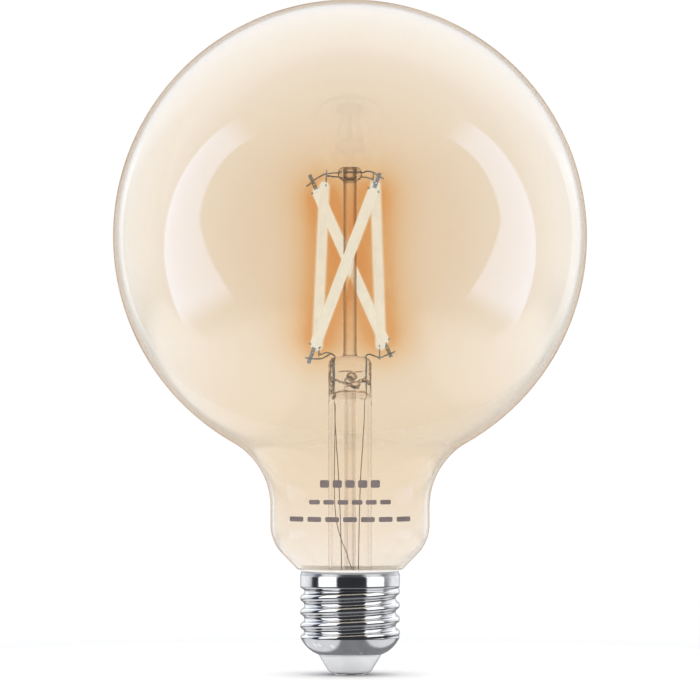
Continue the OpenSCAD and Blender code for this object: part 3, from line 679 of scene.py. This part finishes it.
contact_edge = arc((CONTACT_R - 0.3, 0.3), 0.3, -90, 0, 6)
contact_loop = ([(1.55, 0.06), (1.9, 0.03), (2.4, 0.01), (CONTACT_R - 0.6, 0.0)] + contact_edge
                + [(CONTACT_R, CONTACT_T - 0.05), (CONTACT_R - 0.05, CONTACT_T), (1.55, CONTACT_T)])
add_piece("contact_disc", lathe(contact_loop, 96), NICKEL, ["centre_contact"], sharp=40)


def solder_shape():
    rings = [np.array([[0.05, -0.03, 0.0]])]
    for r, z in [(0.3, 0.003), (0.7, 0.012), (1.05, 0.05), (1.3, 0.12), (1.45, 0.25), (1.5, 0.4),
                 (1.5, CONTACT_T)]:
        c = ring(r, z, 40)
        if r < 1.45:
            for p in c:
                p[2] += 0.02 * abs(noise.noise(Vector((p[0], p[1], 3.0))))
        rings.append(c)
    rings.append(np.array([[0.0, 0.0, CONTACT_T]]))
    return skin(rings, closed=False)


add_piece("contact_solder_drop", solder_shape(), SOLDER, ["contact_solder"], sharp=50)


# ---------------------------------------------------------------- glass stem

press_lo, press_hi = cad_box("stem_press")
bead_lo, bead_hi = cad_box("top_bead")
exhaust_lo, exhaust_hi = cad_box("exhaust_tube")

FLARE_R, FLARE_T, BEND_R, BEND_Z = 5.75, 0.8, 6.0, 26.0
PINCH_Z, PRESS_Z0, PRESS_Z1 = 69.0, press_lo[2], press_hi[2]
PRESS_R, PRESS_HALF_T = press_hi[0], press_hi[1]
# The rod is widest at its melted foot.
ROD_FOOT = 0.3
ROD_R = cad_box("stem_rod")[1][0] - ROD_FOOT
BEAD_R, BEAD_Z0, BEAD_Z1 = bead_hi[0], bead_lo[2], bead_hi[2]
BEAD_MID_Z = (BEAD_Z0 + BEAD_Z1) / 2

# Air sealed in the press: the blown exhaust hole, a ribbon of bubbles along the edge of the
# seal and a string of them beside the leads, as place and half sizes.
PRESS_VOIDS = (
    [(0.55, -0.9, PRESS_Z0 + 2.3, 1.5, 1.0, 1.25), (-0.3, -0.7, PRESS_Z0 + 0.9, 1.3, 0.9, 0.85),
     (1.35, -0.5, PRESS_Z0 - 0.1, 1.35, 0.9, 1.15), (-1.0, -0.3, PRESS_Z0 + 3.5, 2.1, 0.5, 0.28),
     (2.1, -0.2, PRESS_Z0 + 3.35, 1.2, 0.4, 0.22)]
    + [(-3.4 + 1.05 * k, -0.6, PRESS_Z0 + 1.1 - 0.42 * k, 0.75, 0.5, 0.34 + 0.06 * (k % 2))
       for k in range(6)]
    + [(2.9 + 0.85 * k, -0.3, PRESS_Z0 + 1.0 - 0.25 * k + 0.5 * (k % 2), 0.75, 0.7, 0.62)
       for k in range(3)]
    + [(5.0, -0.2, PRESS_Z0 + 0.2 + 1.25 * k, 0.33, 0.5, 0.66) for k in range(5)]
    + [(-4.85 + 0.38 * math.sin(7 * k), -0.5 + 0.35 * math.cos(5 * k), PRESS_Z0 - 2.2 + 0.8 * k,
        0.62 + 0.14 * math.sin(3 * k), 0.5, 0.46 + 0.1 * math.cos(4 * k)) for k in range(12)])


def section(z, half_x, half_y, power, count=96):
    """Ring between a circle, power 2, and a rounded rectangle."""
    a = np.linspace(0, 2 * math.pi, count, endpoint=False)
    c, s = np.cos(a), np.sin(a)
    x = np.sign(c) * np.abs(c) ** (2 / power) * half_x
    y = np.sign(s) * np.abs(s) ** (2 / power) * half_y
    return np.stack([x, y, np.full(count, z)], 1)


def lumpy(rings, z0, z1, depth, scale, seed):
    """Pushes the points between two heights in and out, as in hand-pressed glass."""
    for r in rings:
        if len(r) == 1:
            continue
        for p in r:
            w = float(smooth_step((p[2] - z0) / 1.5) * smooth_step((z1 - p[2]) / 1.5))
            if w > 0:
                q = noise.noise_vector(Vector(p * scale) + Vector((seed, seed, seed)))
                p += np.array([q[0], q[1], q[2] * 0.6]) * depth * w
    return rings


def pinched(z):
    """How far the flare has turned into the press at a height, from 0 to 1."""
    return float(smooth_step((z - PINCH_Z + 2) / (PRESS_Z0 - PINCH_Z + 2)))


def circle(z, r):
    return section(z, r, r, 2) if r > 0 else ring(r, z, 1)


def flare_outside():
    bend = arc((FLARE_R + BEND_R, BEND_Z), BEND_R, 257, 180, 14)
    rings = [circle(z, r) for r, z in bend]
    rings += [circle(z, FLARE_R) for z in np.linspace(BEND_Z + 2, PINCH_Z - 3, 18)]
    for z in np.linspace(PINCH_Z - 2, PRESS_Z0, 18):
        t = pinched(z)
        rings.append(section(z, FLARE_R + (PRESS_R - FLARE_R) * t,
                             FLARE_R + (PRESS_HALF_T - FLARE_R) * t, 2 + 0.7 * t))
    return rings


def press_outside():
    shoulder_z = PRESS_Z1 - 2.3
    block = [section(z, PRESS_R, PRESS_HALF_T, 2.7) for z in np.linspace(PRESS_Z0 + 0.6, shoulder_z, 12)]
    shoulder = [section(shoulder_z + 2.2 * math.sin(a), PRESS_R - 2.3 * (1 - math.cos(a)),
                        PRESS_HALF_T - 0.9 * (1 - math.cos(a)), 2.7 - 0.4 * a)
                for a in np.radians(np.linspace(8, 82, 11))]
    top = [section(PRESS_Z1 - 0.1 + 0.1 * t, 3.1 - 1.0 * t, 1.75 + 0.25 * t, 2.1) for t in (0.0, 0.5, 1.0)]
    return lumpy(block + shoulder + top, PRESS_Z0 - 2, PRESS_Z1 + 0.4, 0.3, 0.42, 7.0)


def rod_and_bead():
    rings = [section(PRESS_Z1 + rise, ROD_R + wider, ROD_R + wider * 0.7, 2) for rise, wider in
             ((0.12, 0.28), (0.35, 0.14), (0.7, 0.05))]
    rings += [circle(z, ROD_R) for z in np.linspace(PRESS_Z1 + 1.2, BEAD_Z0 - 0.5, 40)]
    low_r = ROD_R - 0.05
    bead = [circle(BEAD_MID_Z + (BEAD_Z1 - BEAD_MID_Z) * math.sin(a),
                   low_r + (BEAD_R - low_r) * math.cos(a) ** 0.7)
            for a in np.radians(np.linspace(-84, 84, 22))]
    crown = [circle(BEAD_Z1 + rise, r) for r, rise in ((1.5, -0.01), (1.1, 0.0), (0.6, 0.0), (0.0, 0.0))]
    return rings + lumpy(bead, BEAD_Z0, BEAD_Z1, 0.12, 0.6, 3.0) + crown


def flare_inside():
    roof = [circle(PRESS_Z0 - 1.7, 0.0)]
    for a in np.radians(np.linspace(80, 0, 9)):
        narrow = math.cos(a) ** 0.6
        roof.append(section(PRESS_Z0 - 3.2 + 1.5 * math.sin(a), 4.75 * narrow, 1.7 * narrow, 2.3))
    for z in np.linspace(PRESS_Z0 - 3.8, PINCH_Z - 2, 14):
        t = pinched(z)
        roof.append(section(z, FLARE_R + (PRESS_R - FLARE_R) * t - FLARE_T - 0.15 * t,
                            FLARE_R + (PRESS_HALF_T - FLARE_R) * t - FLARE_T - 0.1 * t, 2 + 0.3 * t))
    rings = lumpy(roof, PINCH_Z + 2, PRESS_Z0 + 2, 0.5, 0.55, 11.0)
    rings += [circle(z, FLARE_R - FLARE_T) for z in np.linspace(PINCH_Z - 3, BEND_Z + 2, 18)]
    bend = arc((FLARE_R + BEND_R, BEND_Z), BEND_R + FLARE_T, 256, 180, 14)
    return rings + [circle(z, r) for r, z in bend[::-1]]


def stem_shape():
    """The fused glass of the stem, and the first vertex of each hollow sealed in it."""
    shape = skin(flare_outside() + press_outside() + rod_and_bead() + flare_inside())
    hollows = [blob(i, *v) for i, v in enumerate(PRESS_VOIDS)] + bead_hollows()
    counts = [len(shape[0])] + [len(h[0]) for h in hollows[:-1]]
    return joined(shape, *hollows), np.cumsum(counts).tolist()


def blob(i, x, y, z, wide, deep, tall):
    """Uneven bubble at a place, with half sizes."""
    rings = [section(z + tall * math.sin(a), wide * math.cos(a), deep * math.cos(a), 2, 24)
             for a in np.radians(np.linspace(-90, 90, 13))]
    rings[0], rings[-1] = rings[0].mean(0)[None], rings[-1].mean(0)[None]
    for r in rings:
        r += (x, y, 0)
        for p in r:
            q = noise.noise_vector(Vector(p * (0.9 / wide)) + Vector((i * 5.3, 0, 0)))
            p += np.array(q) * 0.4 * min(wide, deep)
    return skin(rings, closed=False)


def bead_hollows():
    """Thin hollows left where the bead was melted on to the end of the rod."""
    sheath = [(1.78 + 0.13 * math.cos(a), BEAD_MID_Z - 0.1 + 1.25 * math.sin(a))
              for a in np.linspace(0, 2 * math.pi, 20, endpoint=False)]
    top = [(1.35 + 0.22 * math.cos(a), BEAD_MID_Z + 1.12 + 0.2 * math.sin(a))
           for a in np.linspace(0, 2 * math.pi, 14, endpoint=False)]
    return [lathe(sheath, 48), lathe(top, 48)]


def stem_zones(shape, outer_count):
    """Which glass each face of the stem has: 0 flare, 1 press and bead, 2 rod, 3 hollows."""
    verts, faces = shape
    z = np.array([verts[f[0]][2] for f in faces])
    zone = np.select([z < PRESS_Z0 - 3.5, z < PRESS_Z1 + 0.1, z < BEAD_Z0 - 0.3], [0, 1, 2], 1)
    first = np.array([min(f) for f in faces])
    zone[first >= outer_count] = 3
    return zone.astype(np.int32).tolist()


stem, void_starts = stem_shape()
add_piece("glass_stem", stem, [FLARE_GLASS, PRESS_GLASS, ROD_GLASS, VOID_GLASS],
          ["flare_tube", "stem_press", "stem_rod", "top_bead"], flipped=void_starts,
          face_mats=stem_zones(stem, void_starts[0]))

EXHAUST_R, EXHAUST_BORE_R = exhaust_hi[0], 0.85
tip = exhaust_lo[2]
exhaust_top = PRESS_Z0 - 0.5
exhaust_outer = [(0.0, tip), (0.6, tip + 0.2), (1.0, tip + 0.8), (1.25, tip + 1.4), (1.42, tip + 2.1),
                 (EXHAUST_R, tip + 2.8), (EXHAUST_R, exhaust_top - 0.1), (EXHAUST_R - 0.15, exhaust_top)]
exhaust_inner = [(EXHAUST_BORE_R, exhaust_top), (EXHAUST_BORE_R, tip + 3), (0.5, tip + 2.1),
                 (0.0, tip + 1.8)]
add_piece("exhaust_tube_glass", lathe(spread(exhaust_outer + exhaust_inner, 2.0), 64, closed=False),
          EXHAUST_GLASS, ["exhaust_tube"], sharp=50)


# ---------------------------------------------------------------- wires

LEAD_R, LOW_LEAD_R = 0.2, 0.12

for node in ("warm_bridge", "cool_bridge"):
    add_piece(node + "_drawn", tube(spline(centreline(node), 0.35), LEAD_R), LEAD_WIRE, [node])
for node in ("warm_lead", "cool_lead", "common_lead"):
    # Thinner, browner wire below the seal.
    path = spline(centreline(node), 0.35)
    above_seal = smooth_step((path[:, 2] - PRESS_Z0 + 2) / 3)
    lead = tube(path, LOW_LEAD_R + (LEAD_R - LOW_LEAD_R) * above_seal)
    below = [int(lead[0][face[0]][2] < PRESS_Z0) for face in lead[1]]
    add_piece(node + "_drawn", lead, [LEAD_WIRE, SEAL_WIRE], [node], face_mats=below)
for node, mat, slot, radius in (
        ("antenna", COPPER, "copper_wire", 0.16), ("line_wire", WIRE_RED, "wire_red", 0.18),
        ("neutral_wire", WIRE_BLUE, "wire_blue", 0.18)):
    add_piece(node + "_drawn", tube(spline(centreline(node), 0.35), radius), mat, [node])


# ---------------------------------------------------------------- filaments

SIDES = ("left", "right", "front", "back")


def filament_frame(side):
    """Middle of a filament and its directions: the way it faces, across it and along it."""
    p = cad_points(side + "_strip")
    d = p - p[0]
    order = np.argsort(np.linalg.norm(d, axis=1))
    face, along = d[order[1]], d[order[4]]
    face, along = face / np.linalg.norm(face), along / np.linalg.norm(along)
    along = along if along[2] > 0 else -along
    middle = p.mean(0)
    if (cad_points(side + "_chips").mean(0) - middle) @ face < 0:
        face = -face
    return middle, face, np.cross(along, face), along


def coat_shape(side, seed):
    """Bar of phosphor with round ends and slightly uneven sides."""
    middle, face, across, along = filament_frame(side)
    half_l, half_w, half_t, end_l = 22.5, 1.38, 1.18, 1.3
    end = [(-half_l + end_l * (1 - math.sin(a)), math.cos(a)) for a in np.radians(np.linspace(84, 0, 10))]
    body = [(z, 1.0) for z in np.linspace(-half_l + end_l + 0.6, half_l - end_l - 0.6, 90)]
    rows = end + body + [(-z, w) for z, w in end[::-1]]
    rings = [np.array([middle - along * half_l])]
    for z, w in rows:
        grow = w ** 0.8
        c = section(0.0, half_t * grow, half_w * grow, 2.5, 32)
        wave = 1 + 0.018 * noise.noise(Vector((z * 0.5, seed, 0.0)))
        rings.append(middle + along * z + np.outer(c[:, 0] * wave, face)
                     + np.outer(c[:, 1] * wave, across))
    rings.append(np.array([middle + along * half_l]))
    return skin(rings, closed=False)


for seed, side in enumerate(SIDES):
    warm = side in ("left", "right")
    add_piece(side + "_phosphor", coat_shape(side, seed * 3.7), WARM_COAT if warm else COOL_COAT,
              [side + "_coat"])


# ---------------------------------------------------------------- dressed CAD pieces

def touching_faces(face):
    return [f for v in face.verts for f in v.link_faces]


def dressed(node, name, mats, bevel=0.04):
    """A CAD node with rounded edges. Large solids have the first material, and small ones the last."""
    bm = cad_bmesh(node)
    bmesh.ops.dissolve_limit(bm, angle_limit=math.radians(1), verts=bm.verts, edges=bm.edges)
    solids = islands(bm.faces, touching_faces)
    areas = [sum(f.calc_area() for f in solid) for solid in solids]
    for solid, area in zip(solids, areas):
        for f in solid:
            f.material_index = len(mats) - 1 if area < 0.45 * max(areas) else 0
    mesh = bpy.data.meshes.new(name)
    bmesh.ops.scale(bm, vec=(MM,) * 3, verts=bm.verts)
    bm.to_mesh(mesh)
    bm.free()
    for m in mats:
        mesh.materials.append(m)
    obj = bpy.data.objects.new(name, mesh)
    scene.collection.objects.link(obj)
    mod = obj.modifiers.new("edges", "BEVEL")
    mod.width = bevel * MM
    mod.segments = 2
    mod.limit_method = "ANGLE"
    mod.angle_limit = math.radians(35)
    mod.use_clamp_overlap = True
    mesh.shade_smooth()
    mesh.set_sharp_from_angle(angle=math.radians(30))
    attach(obj, "root")
    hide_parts(node)


for side in SIDES:
    dressed(side + "_tabs", side + "_tab_strip", [TAB_METAL], 0.05)
    dressed(side + "_strip", side + "_carrier", [STRIP], 0.05)
    dressed(side + "_chips", side + "_led_row", [LED_CHIP], 0.03)
dressed("driver_sleeve", "sleeve_liner", [SLEEVE], 0.06)
dressed("driver_board", "board_disc", [BOARD], 0.05)
dressed("bulk_capacitor", "capacitor_can", [CASE_BLUE, TIN], 0.08)
dressed("bridge_rectifier", "rectifier_pack", [CHIP_BLACK, TIN], 0.05)
dressed("driver_chips", "driver_packs", [CHIP_BLACK, TIN], 0.05)
dressed("fusible_resistor", "resistor_bar", [RESISTOR, TIN], 0.1)
dressed("filter_inductor", "inductor_core", [FERRITE], 0.1)
dressed("inductor_winding", "winding", [COPPER], 0.05)
dressed("varistor", "varistor_disc", [VARISTOR, TIN], 0.3)
dressed("small_capacitors", "chip_capacitors", [CERAMIC], 0.06)
dressed("small_resistors", "chip_resistors", [CHIP_BLACK], 0.04)
dressed("radio_board", "radio_card", [BOARD], 0.05)
dressed("radio_chip", "radio_pack", [CHIP_BLACK], 0.05)
dressed("radio_shield", "radio_can", [NICKEL], 0.05)
dressed("crystal", "crystal_can", [NICKEL], 0.1)
dressed("header_pins", "pin_row", [GOLD], 0.04)
dressed("cap_cement", "cement_ring", [CEMENT], 0.1)


# ---------------------------------------------------------------- printed dashes

def dash(corners, wall_r):
    """Thin curved film with round corners in the place of one dash of the CAD node."""
    (x0, _, z0), (x1, _, z1) = corners.min(0), corners.max(0)
    cols, rows, corner = 14, 8, 0.3
    verts = []
    for height in (0.045, 0.012):
        for z in np.linspace(z0, z1, rows + 1):
            near = min(z - z0, z1 - z)
            cut = corner - math.sqrt(corner ** 2 - max(0.0, corner - near) ** 2)
            r = wall_r(z) + height
            verts += [(x, -math.sqrt(r * r - x * x), z) for x in np.linspace(x0 + cut, x1 - cut, cols + 1)]

    def at(side, i, j):
        return (side * (rows + 1) + i) * (cols + 1) + j

    faces = []
    for i in range(rows):
        for j in range(cols):
            faces.append((at(0, i, j), at(0, i, j + 1), at(0, i + 1, j + 1), at(0, i + 1, j)))
            faces.append((at(1, i + 1, j), at(1, i + 1, j + 1), at(1, i, j + 1), at(1, i, j)))
    edge = ([(0, j) for j in range(cols)] + [(i, cols) for i in range(rows)]
            + [(rows, j) for j in range(cols, 0, -1)] + [(i, 0) for i in range(rows, 0, -1)])
    for a, b in zip(edge, edge[1:] + edge[:1]):
        faces.append((at(0, *a), at(1, *a), at(1, *b), at(0, *b)))
    return verts, faces


def mark_shape():
    outline = sorted((z, r) for r, z in globe_outline(0))
    heights, radii = zip(*outline)
    bm = cad_bmesh("printed_mark")
    places = [np.array([v.co for v in island]) for island in islands(bm.verts, next_verts)]
    bm.free()
    return joined(*(dash(co, lambda z: float(np.interp(z, heights, radii))) for co in places))


add_piece("neck_mark", mark_shape(), INK, ["printed_mark"], sharp=40)


# ---------------------------------------------------------------- stage: painted glow of the filaments

# Layers of the painted glow, each with its reach in m and its weight.
GLOW_LAYERS = ((0.0036, 1.0), (0.008, 0.265))
GLOW_EDGE, GLOW_DENSITY, GLOW_CAP = 0.016, 118.0, 0.6
GLOW_HALF_L, CLEAR_HALF_L, CLEAR_EDGE = 18.9, 21.3, (0.00125, 0.0019)


def glow():
    """Painted glow round the lit filaments, as a warm absorbing haze, with none before or behind them. It
    belongs to the picture.
    """
    mat = bpy.data.materials.new("filament_glow")
    mat.use_nodes = True
    f = Formula(mat.node_tree)
    place = f.new("TexCoord").outputs["Object"]
    flat = f.vec("MULTIPLY", place, (1.0, 0.0, 1.0))
    layers, gaps, ends = [], [], []
    for side in SIDES:
        middle, _, _, along = filament_frame(side)
        a, b = (middle - along * GLOW_HALF_L) * MM, (middle + along * GLOW_HALF_L) * MM
        ends += [a, b]
        near = f.distance_to_bar(place, a, b)
        for reach, weight in GLOW_LAYERS:
            fall = f.times(f.op("POWER", f.op("DIVIDE", near, reach), 2.0), -1.0)
            layers.append(f.times(f.op("EXPONENT", fall), weight))
        a, b = (middle - along * CLEAR_HALF_L) * MM, (middle + along * CLEAR_HALF_L) * MM
        shadow = f.distance_to_bar(flat, (a[0], 0, a[2]), (b[0], 0, b[2]))
        gaps.append(f.step(shadow, *CLEAR_EDGE))
    volume = f.new("VolumeAbsorption")
    volume.inputs["Color"].default_value = (0.93, 0.565, 0.0, 1)
    amount = f.op("MINIMUM", f.total(*layers), GLOW_CAP)
    f.fill(volume.inputs["Density"], f.times(amount, *gaps, GLOW_DENSITY))
    f.fill(f.new("OutputMaterial").inputs["Volume"], volume.outputs[0])
    mat.cycles.volume_step_rate = 0.25
    lo, hi = np.min(ends, 0) - GLOW_EDGE, np.max(ends, 0) + GLOW_EDGE
    bpy.ops.mesh.primitive_cube_add(size=1)
    box = bpy.context.object
    box.name = "glow"
    box.data.transform(Matrix.Translation((lo + hi) / 2) @ Matrix.Diagonal((*(hi - lo), 1)))
    box.data.materials.append(mat)
    box.visible_shadow = False


# ---------------------------------------------------------------- stage: floor, world, lights, camera

def floor():
    """White floor with a painted contact shadow round the foot of the bulb, and round that a faint painted
    light that lifts the bulb's own wider shadow. Far from the bulb it evens out to the background's white.
    """
    n = Nodes("floor_white")
    reach = n.vec("LENGTH", n.coords, out=1)
    near = n.range(reach, 0.0, 1.0, 0.004, 0.022)
    far = n.range(reach, 0.0, 1.0, 0.05, 0.16)
    painted_contact_shadow = n.ramp(near, [(0.0, (0.5,) * 3), (0.2, (0.6,) * 3), (0.55, (0.9,) * 3), (1.0, (0.97,) * 3)])
    # Painted light: the floor glows faintly round the painted contact shadow, but not right under the
    # foot.
    lift = n.ramp(near, [(0.1, (0, 0, 0)), (0.9, (1, 1, 1))])
    n.put(Base_Color=n.mix(1.0, painted_contact_shadow, n.ramp(far, [(0.0, (1, 1, 1)), (1.0, (0.89,) * 3)]), "MULTIPLY"),
          Emission_Color=n.mix(1.0, lift, n.ramp(far, [(0.0, (1, 1, 1)), (1.0, (0, 0, 0))]), "MULTIPLY"),
          Emission_Strength=0.17, Roughness=0.9, Specular_IOR_Level=0.0)
    bpy.ops.mesh.primitive_circle_add(vertices=96, radius=1.6, fill_type="NGON", location=(0, 0, -0.00002))
    obj = bpy.context.object
    obj.name = "floor"
    obj.data.materials.append(n.mat)
    obj.visible_glossy = False


def studio_world():
    """White all round, and for mirror-like reflections a room: dark in front, lighter behind."""
    world = bpy.data.worlds.new("studio")
    scene.world = world
    world.use_nodes = True
    f = Formula(world.node_tree)
    split = f.new("SeparateXYZ")
    f.fill(split.inputs[0], f.new("TexCoord").outputs["Generated"])
    x, y, z = split.outputs
    # Dark in front, lighter behind and high up, with a dark band low down.
    front = f.mix(f.step(z, 0.5, 0.8), (0.04, 0.042, 0.046, 1), (0.2, 0.205, 0.21, 1))
    room = f.mix(f.step(y, 0.0, 0.5), front, (0.78, 0.785, 0.8, 1))
    low = f.times(f.step(z, -0.3, -0.05, 1.0, 0.0), f.step(y, 0.84, 0.94, 1.0, 0.0))
    room = f.mix(low, room, (0.05, 0.052, 0.056, 1))
    # The floor is bright on both sides, and grey under the bulb and straight behind it.
    off = f.op("ABSOLUTE", f.op("SUBTRACT", x, 0.1))
    ground = f.mix(f.step(off, 0.36, 0.48), (0.28, 0.285, 0.3, 1), (0.95, 0.95, 0.97, 1))
    lift = f.step(y, 0.0, 0.4, 0.0, 0.28)
    room = f.mix(f.step(f.op("SUBTRACT", z, lift), -0.66, -0.5, 1.0, 0.0), room, ground)
    room = f.mix(f.step(y, 0.84, 0.92), room, (0.3, 0.3, 0.3, 1))
    # Large box above and behind, which hangs lower on the left.
    lean = f.total(f.times(y, 0.8), f.times(z, 0.6))
    droop = f.times(f.step(x, -0.1, 0.1, 0.6, 0.25), f.step(y, 0.15, 0.5, 1.0, 0.0))
    lean = f.total(lean, f.times(x, x, droop))
    over = f.times(f.step(lean, 0.66, 0.80), f.step(y, 0.86, 0.93, 1.0, 0.0))
    mirror = f.vec("ADD", room, f.scaled((0.32, 0.37, 0.5), over))
    soft = f.step(z, -0.2, 1.0, 1.09, 1.29)
    path = f.new("LightPath")
    seen = f.op("MAXIMUM", path.outputs["Is Camera Ray"], path.outputs["Is Transmission Ray"])
    lit = f.mix(path.outputs["Is Diffuse Ray"], mirror, soft)
    back = f.new("Background")
    f.fill(back.inputs["Color"], f.mix(seen, lit, (1.02, 1.02, 1.02, 1)))
    f.fill(f.new("OutputWorld").inputs["Surface"], back.outputs[0])


FAR = 30  # m, so that a direction is the same from every point of the globe


def glass_boxes(receivers):
    """A far sphere with the soft boxes and the warm edge that only the glass globe mirrors."""
    mat = bpy.data.materials.new("glass_boxes")
    mat.use_nodes = True
    f = Formula(mat.node_tree)
    place = f.new("TexCoord").outputs["Object"]
    split = f.new("SeparateXYZ")
    f.fill(split.inputs[0], f.vec("NORMALIZE", place))
    x, y, z = split.outputs
    # Slopes over the side axis: u is how far back a direction points, and v how far up.
    side = f.op("ABSOLUTE", x)
    u, v = f.op("DIVIDE", y, side), f.op("DIVIDE", z, side)
    # Tall bent box on each side: its edges are curves of u over v.
    up = f.op("MAXIMUM", f.op("SUBTRACT", v, 0.1), 0.0)
    down = f.op("MINIMUM", f.op("SUBTRACT", v, 0.1), 0.0)
    near_edge = f.total(f.times(up, up, -0.4), f.times(down, 0.45), -0.225)
    far_edge = f.total(f.times(v, -0.2), f.times(v, v, -0.12), 0.195)
    box = f.times(f.step(f.op("SUBTRACT", u, near_edge), -0.015, 0.03),
                  f.step(f.op("SUBTRACT", far_edge, u), -0.02, 0.02),
                  f.step(v, -0.6, -0.38), f.step(v, 0.7, 1.15, 1.0, 0.0))
    # Narrow strips further back.
    start = f.step(x, -0.1, 0.1, 1.36, 1.02)
    strip = f.times(f.step(f.op("SUBTRACT", u, start), 0.0, 0.06), f.step(u, 1.45, 1.95, 1.0, 0.0),
                    f.step(v, -0.7, -0.3), f.step(v, 0.3, 0.6, 1.0, 0.0))
    # Distance from the middle less the ray's length gives the slant of the glass it came from. A box
    # fades out at a grazing angle, or the globe's outline would be lost in it from the sides.
    slant = f.op("SUBTRACT", f.vec("LENGTH", place, out=1), f.new("LightPath").outputs["Ray Length"])
    box = f.times(box, f.step(slant, GLOBE_R * MM * 0.3, GLOBE_R * MM * 0.58, 0.1, 1.0))
    glare = f.vec("ADD", f.scaled((1.7, 2.4, 4.0), box), f.scaled((0.35, 0.4, 0.5), strip))
    glare = f.vec("ADD", glare, f.scaled((0.32, 0.16, 0.02), f.step(y, 0.86, 0.94)))
    shine = f.new("Emission")
    f.fill(shine.inputs["Color"], glare)
    both = f.new("AddShader")
    f.fill(both.inputs[0], shine.outputs[0])
    f.fill(both.inputs[1], f.new("BsdfTransparent").outputs[0])
    f.fill(f.new("OutputMaterial").inputs["Surface"], both.outputs[0])
    mat.cycles.emission_sampling = "NONE"
    bpy.ops.mesh.primitive_uv_sphere_add(segments=48, ring_count=24, radius=FAR,
                                         location=(0, 0, CENTRE_Z * MM))
    obj = bpy.context.object
    obj.name = "glass_boxes"
    obj.data.materials.append(mat)
    obj.visible_camera = obj.visible_diffuse = obj.visible_transmission = obj.visible_shadow = False
    obj.light_linking.receiver_collection = receivers


CARD_DISTANCE, CARD_LOW_Z, CARD_HIGH_Z = 0.6, -0.04, 0.9


def cap_card(name, from_a, to_a, shine, receivers):
    """Upright card between two azimuths from the front, positive right. Only the metal cap mirrors it."""
    data = bpy.data.lights.new(name, "AREA")
    data.shape = "RECTANGLE"
    data.size = 2 * CARD_DISTANCE * math.tan(math.radians(to_a - from_a) / 2)
    data.size_y = CARD_HIGH_Z - CARD_LOW_Z
    data.energy = shine * math.pi * data.size * data.size_y
    obj = bpy.data.objects.new(name, data)
    a = math.radians((from_a + to_a) / 2)
    place = CARD_DISTANCE * Vector((math.sin(a), -math.cos(a), 0))
    obj.location = (place.x, place.y, (CARD_LOW_Z + CARD_HIGH_Z) / 2)
    aim = -place
    obj.rotation_euler = aim.to_track_quat("-Z", "Y").to_euler()
    obj.visible_camera = False
    obj.light_linking.receiver_collection = receivers
    scene.collection.objects.link(obj)


def group(name, members):
    collection = bpy.data.collections.new(name)
    for member in members:
        collection.objects.link(bpy.data.objects[member])
    return collection


metal_cap = group("metal_cap", ["cap_shell", "contact_disc"])
glow()
floor()
studio_world()
glass_boxes(group("glass_parts", ["glass_globe"]))
for card, from_a, to_a, shine in (
        ("card_left", -77, -31, 1.7), ("card_right", 39, 85, 1.6), ("card_grey", 85, 104, 0.35),
        ("card_back_left", -175, -99, 0.4), ("card_back_right", 104, 175, 0.4)):
    cap_card(card, from_a, to_a, shine, metal_cap)

CAMERA_DISTANCE, CAMERA_Z = 1.35, 0.0856
camera_data = bpy.data.cameras.new("camera")
camera_data.sensor_width = 36
camera_data.lens = 263
camera_data.clip_start, camera_data.clip_end = 0.05, 20
camera = bpy.data.objects.new("camera", camera_data)
camera.location = (0, -CAMERA_DISTANCE, CAMERA_Z)
camera.rotation_euler = (math.pi / 2, 0, 0)
scene.collection.objects.link(camera)
scene.camera = camera

scene.view_settings.view_transform = "Standard"
scene.view_settings.look = "None"
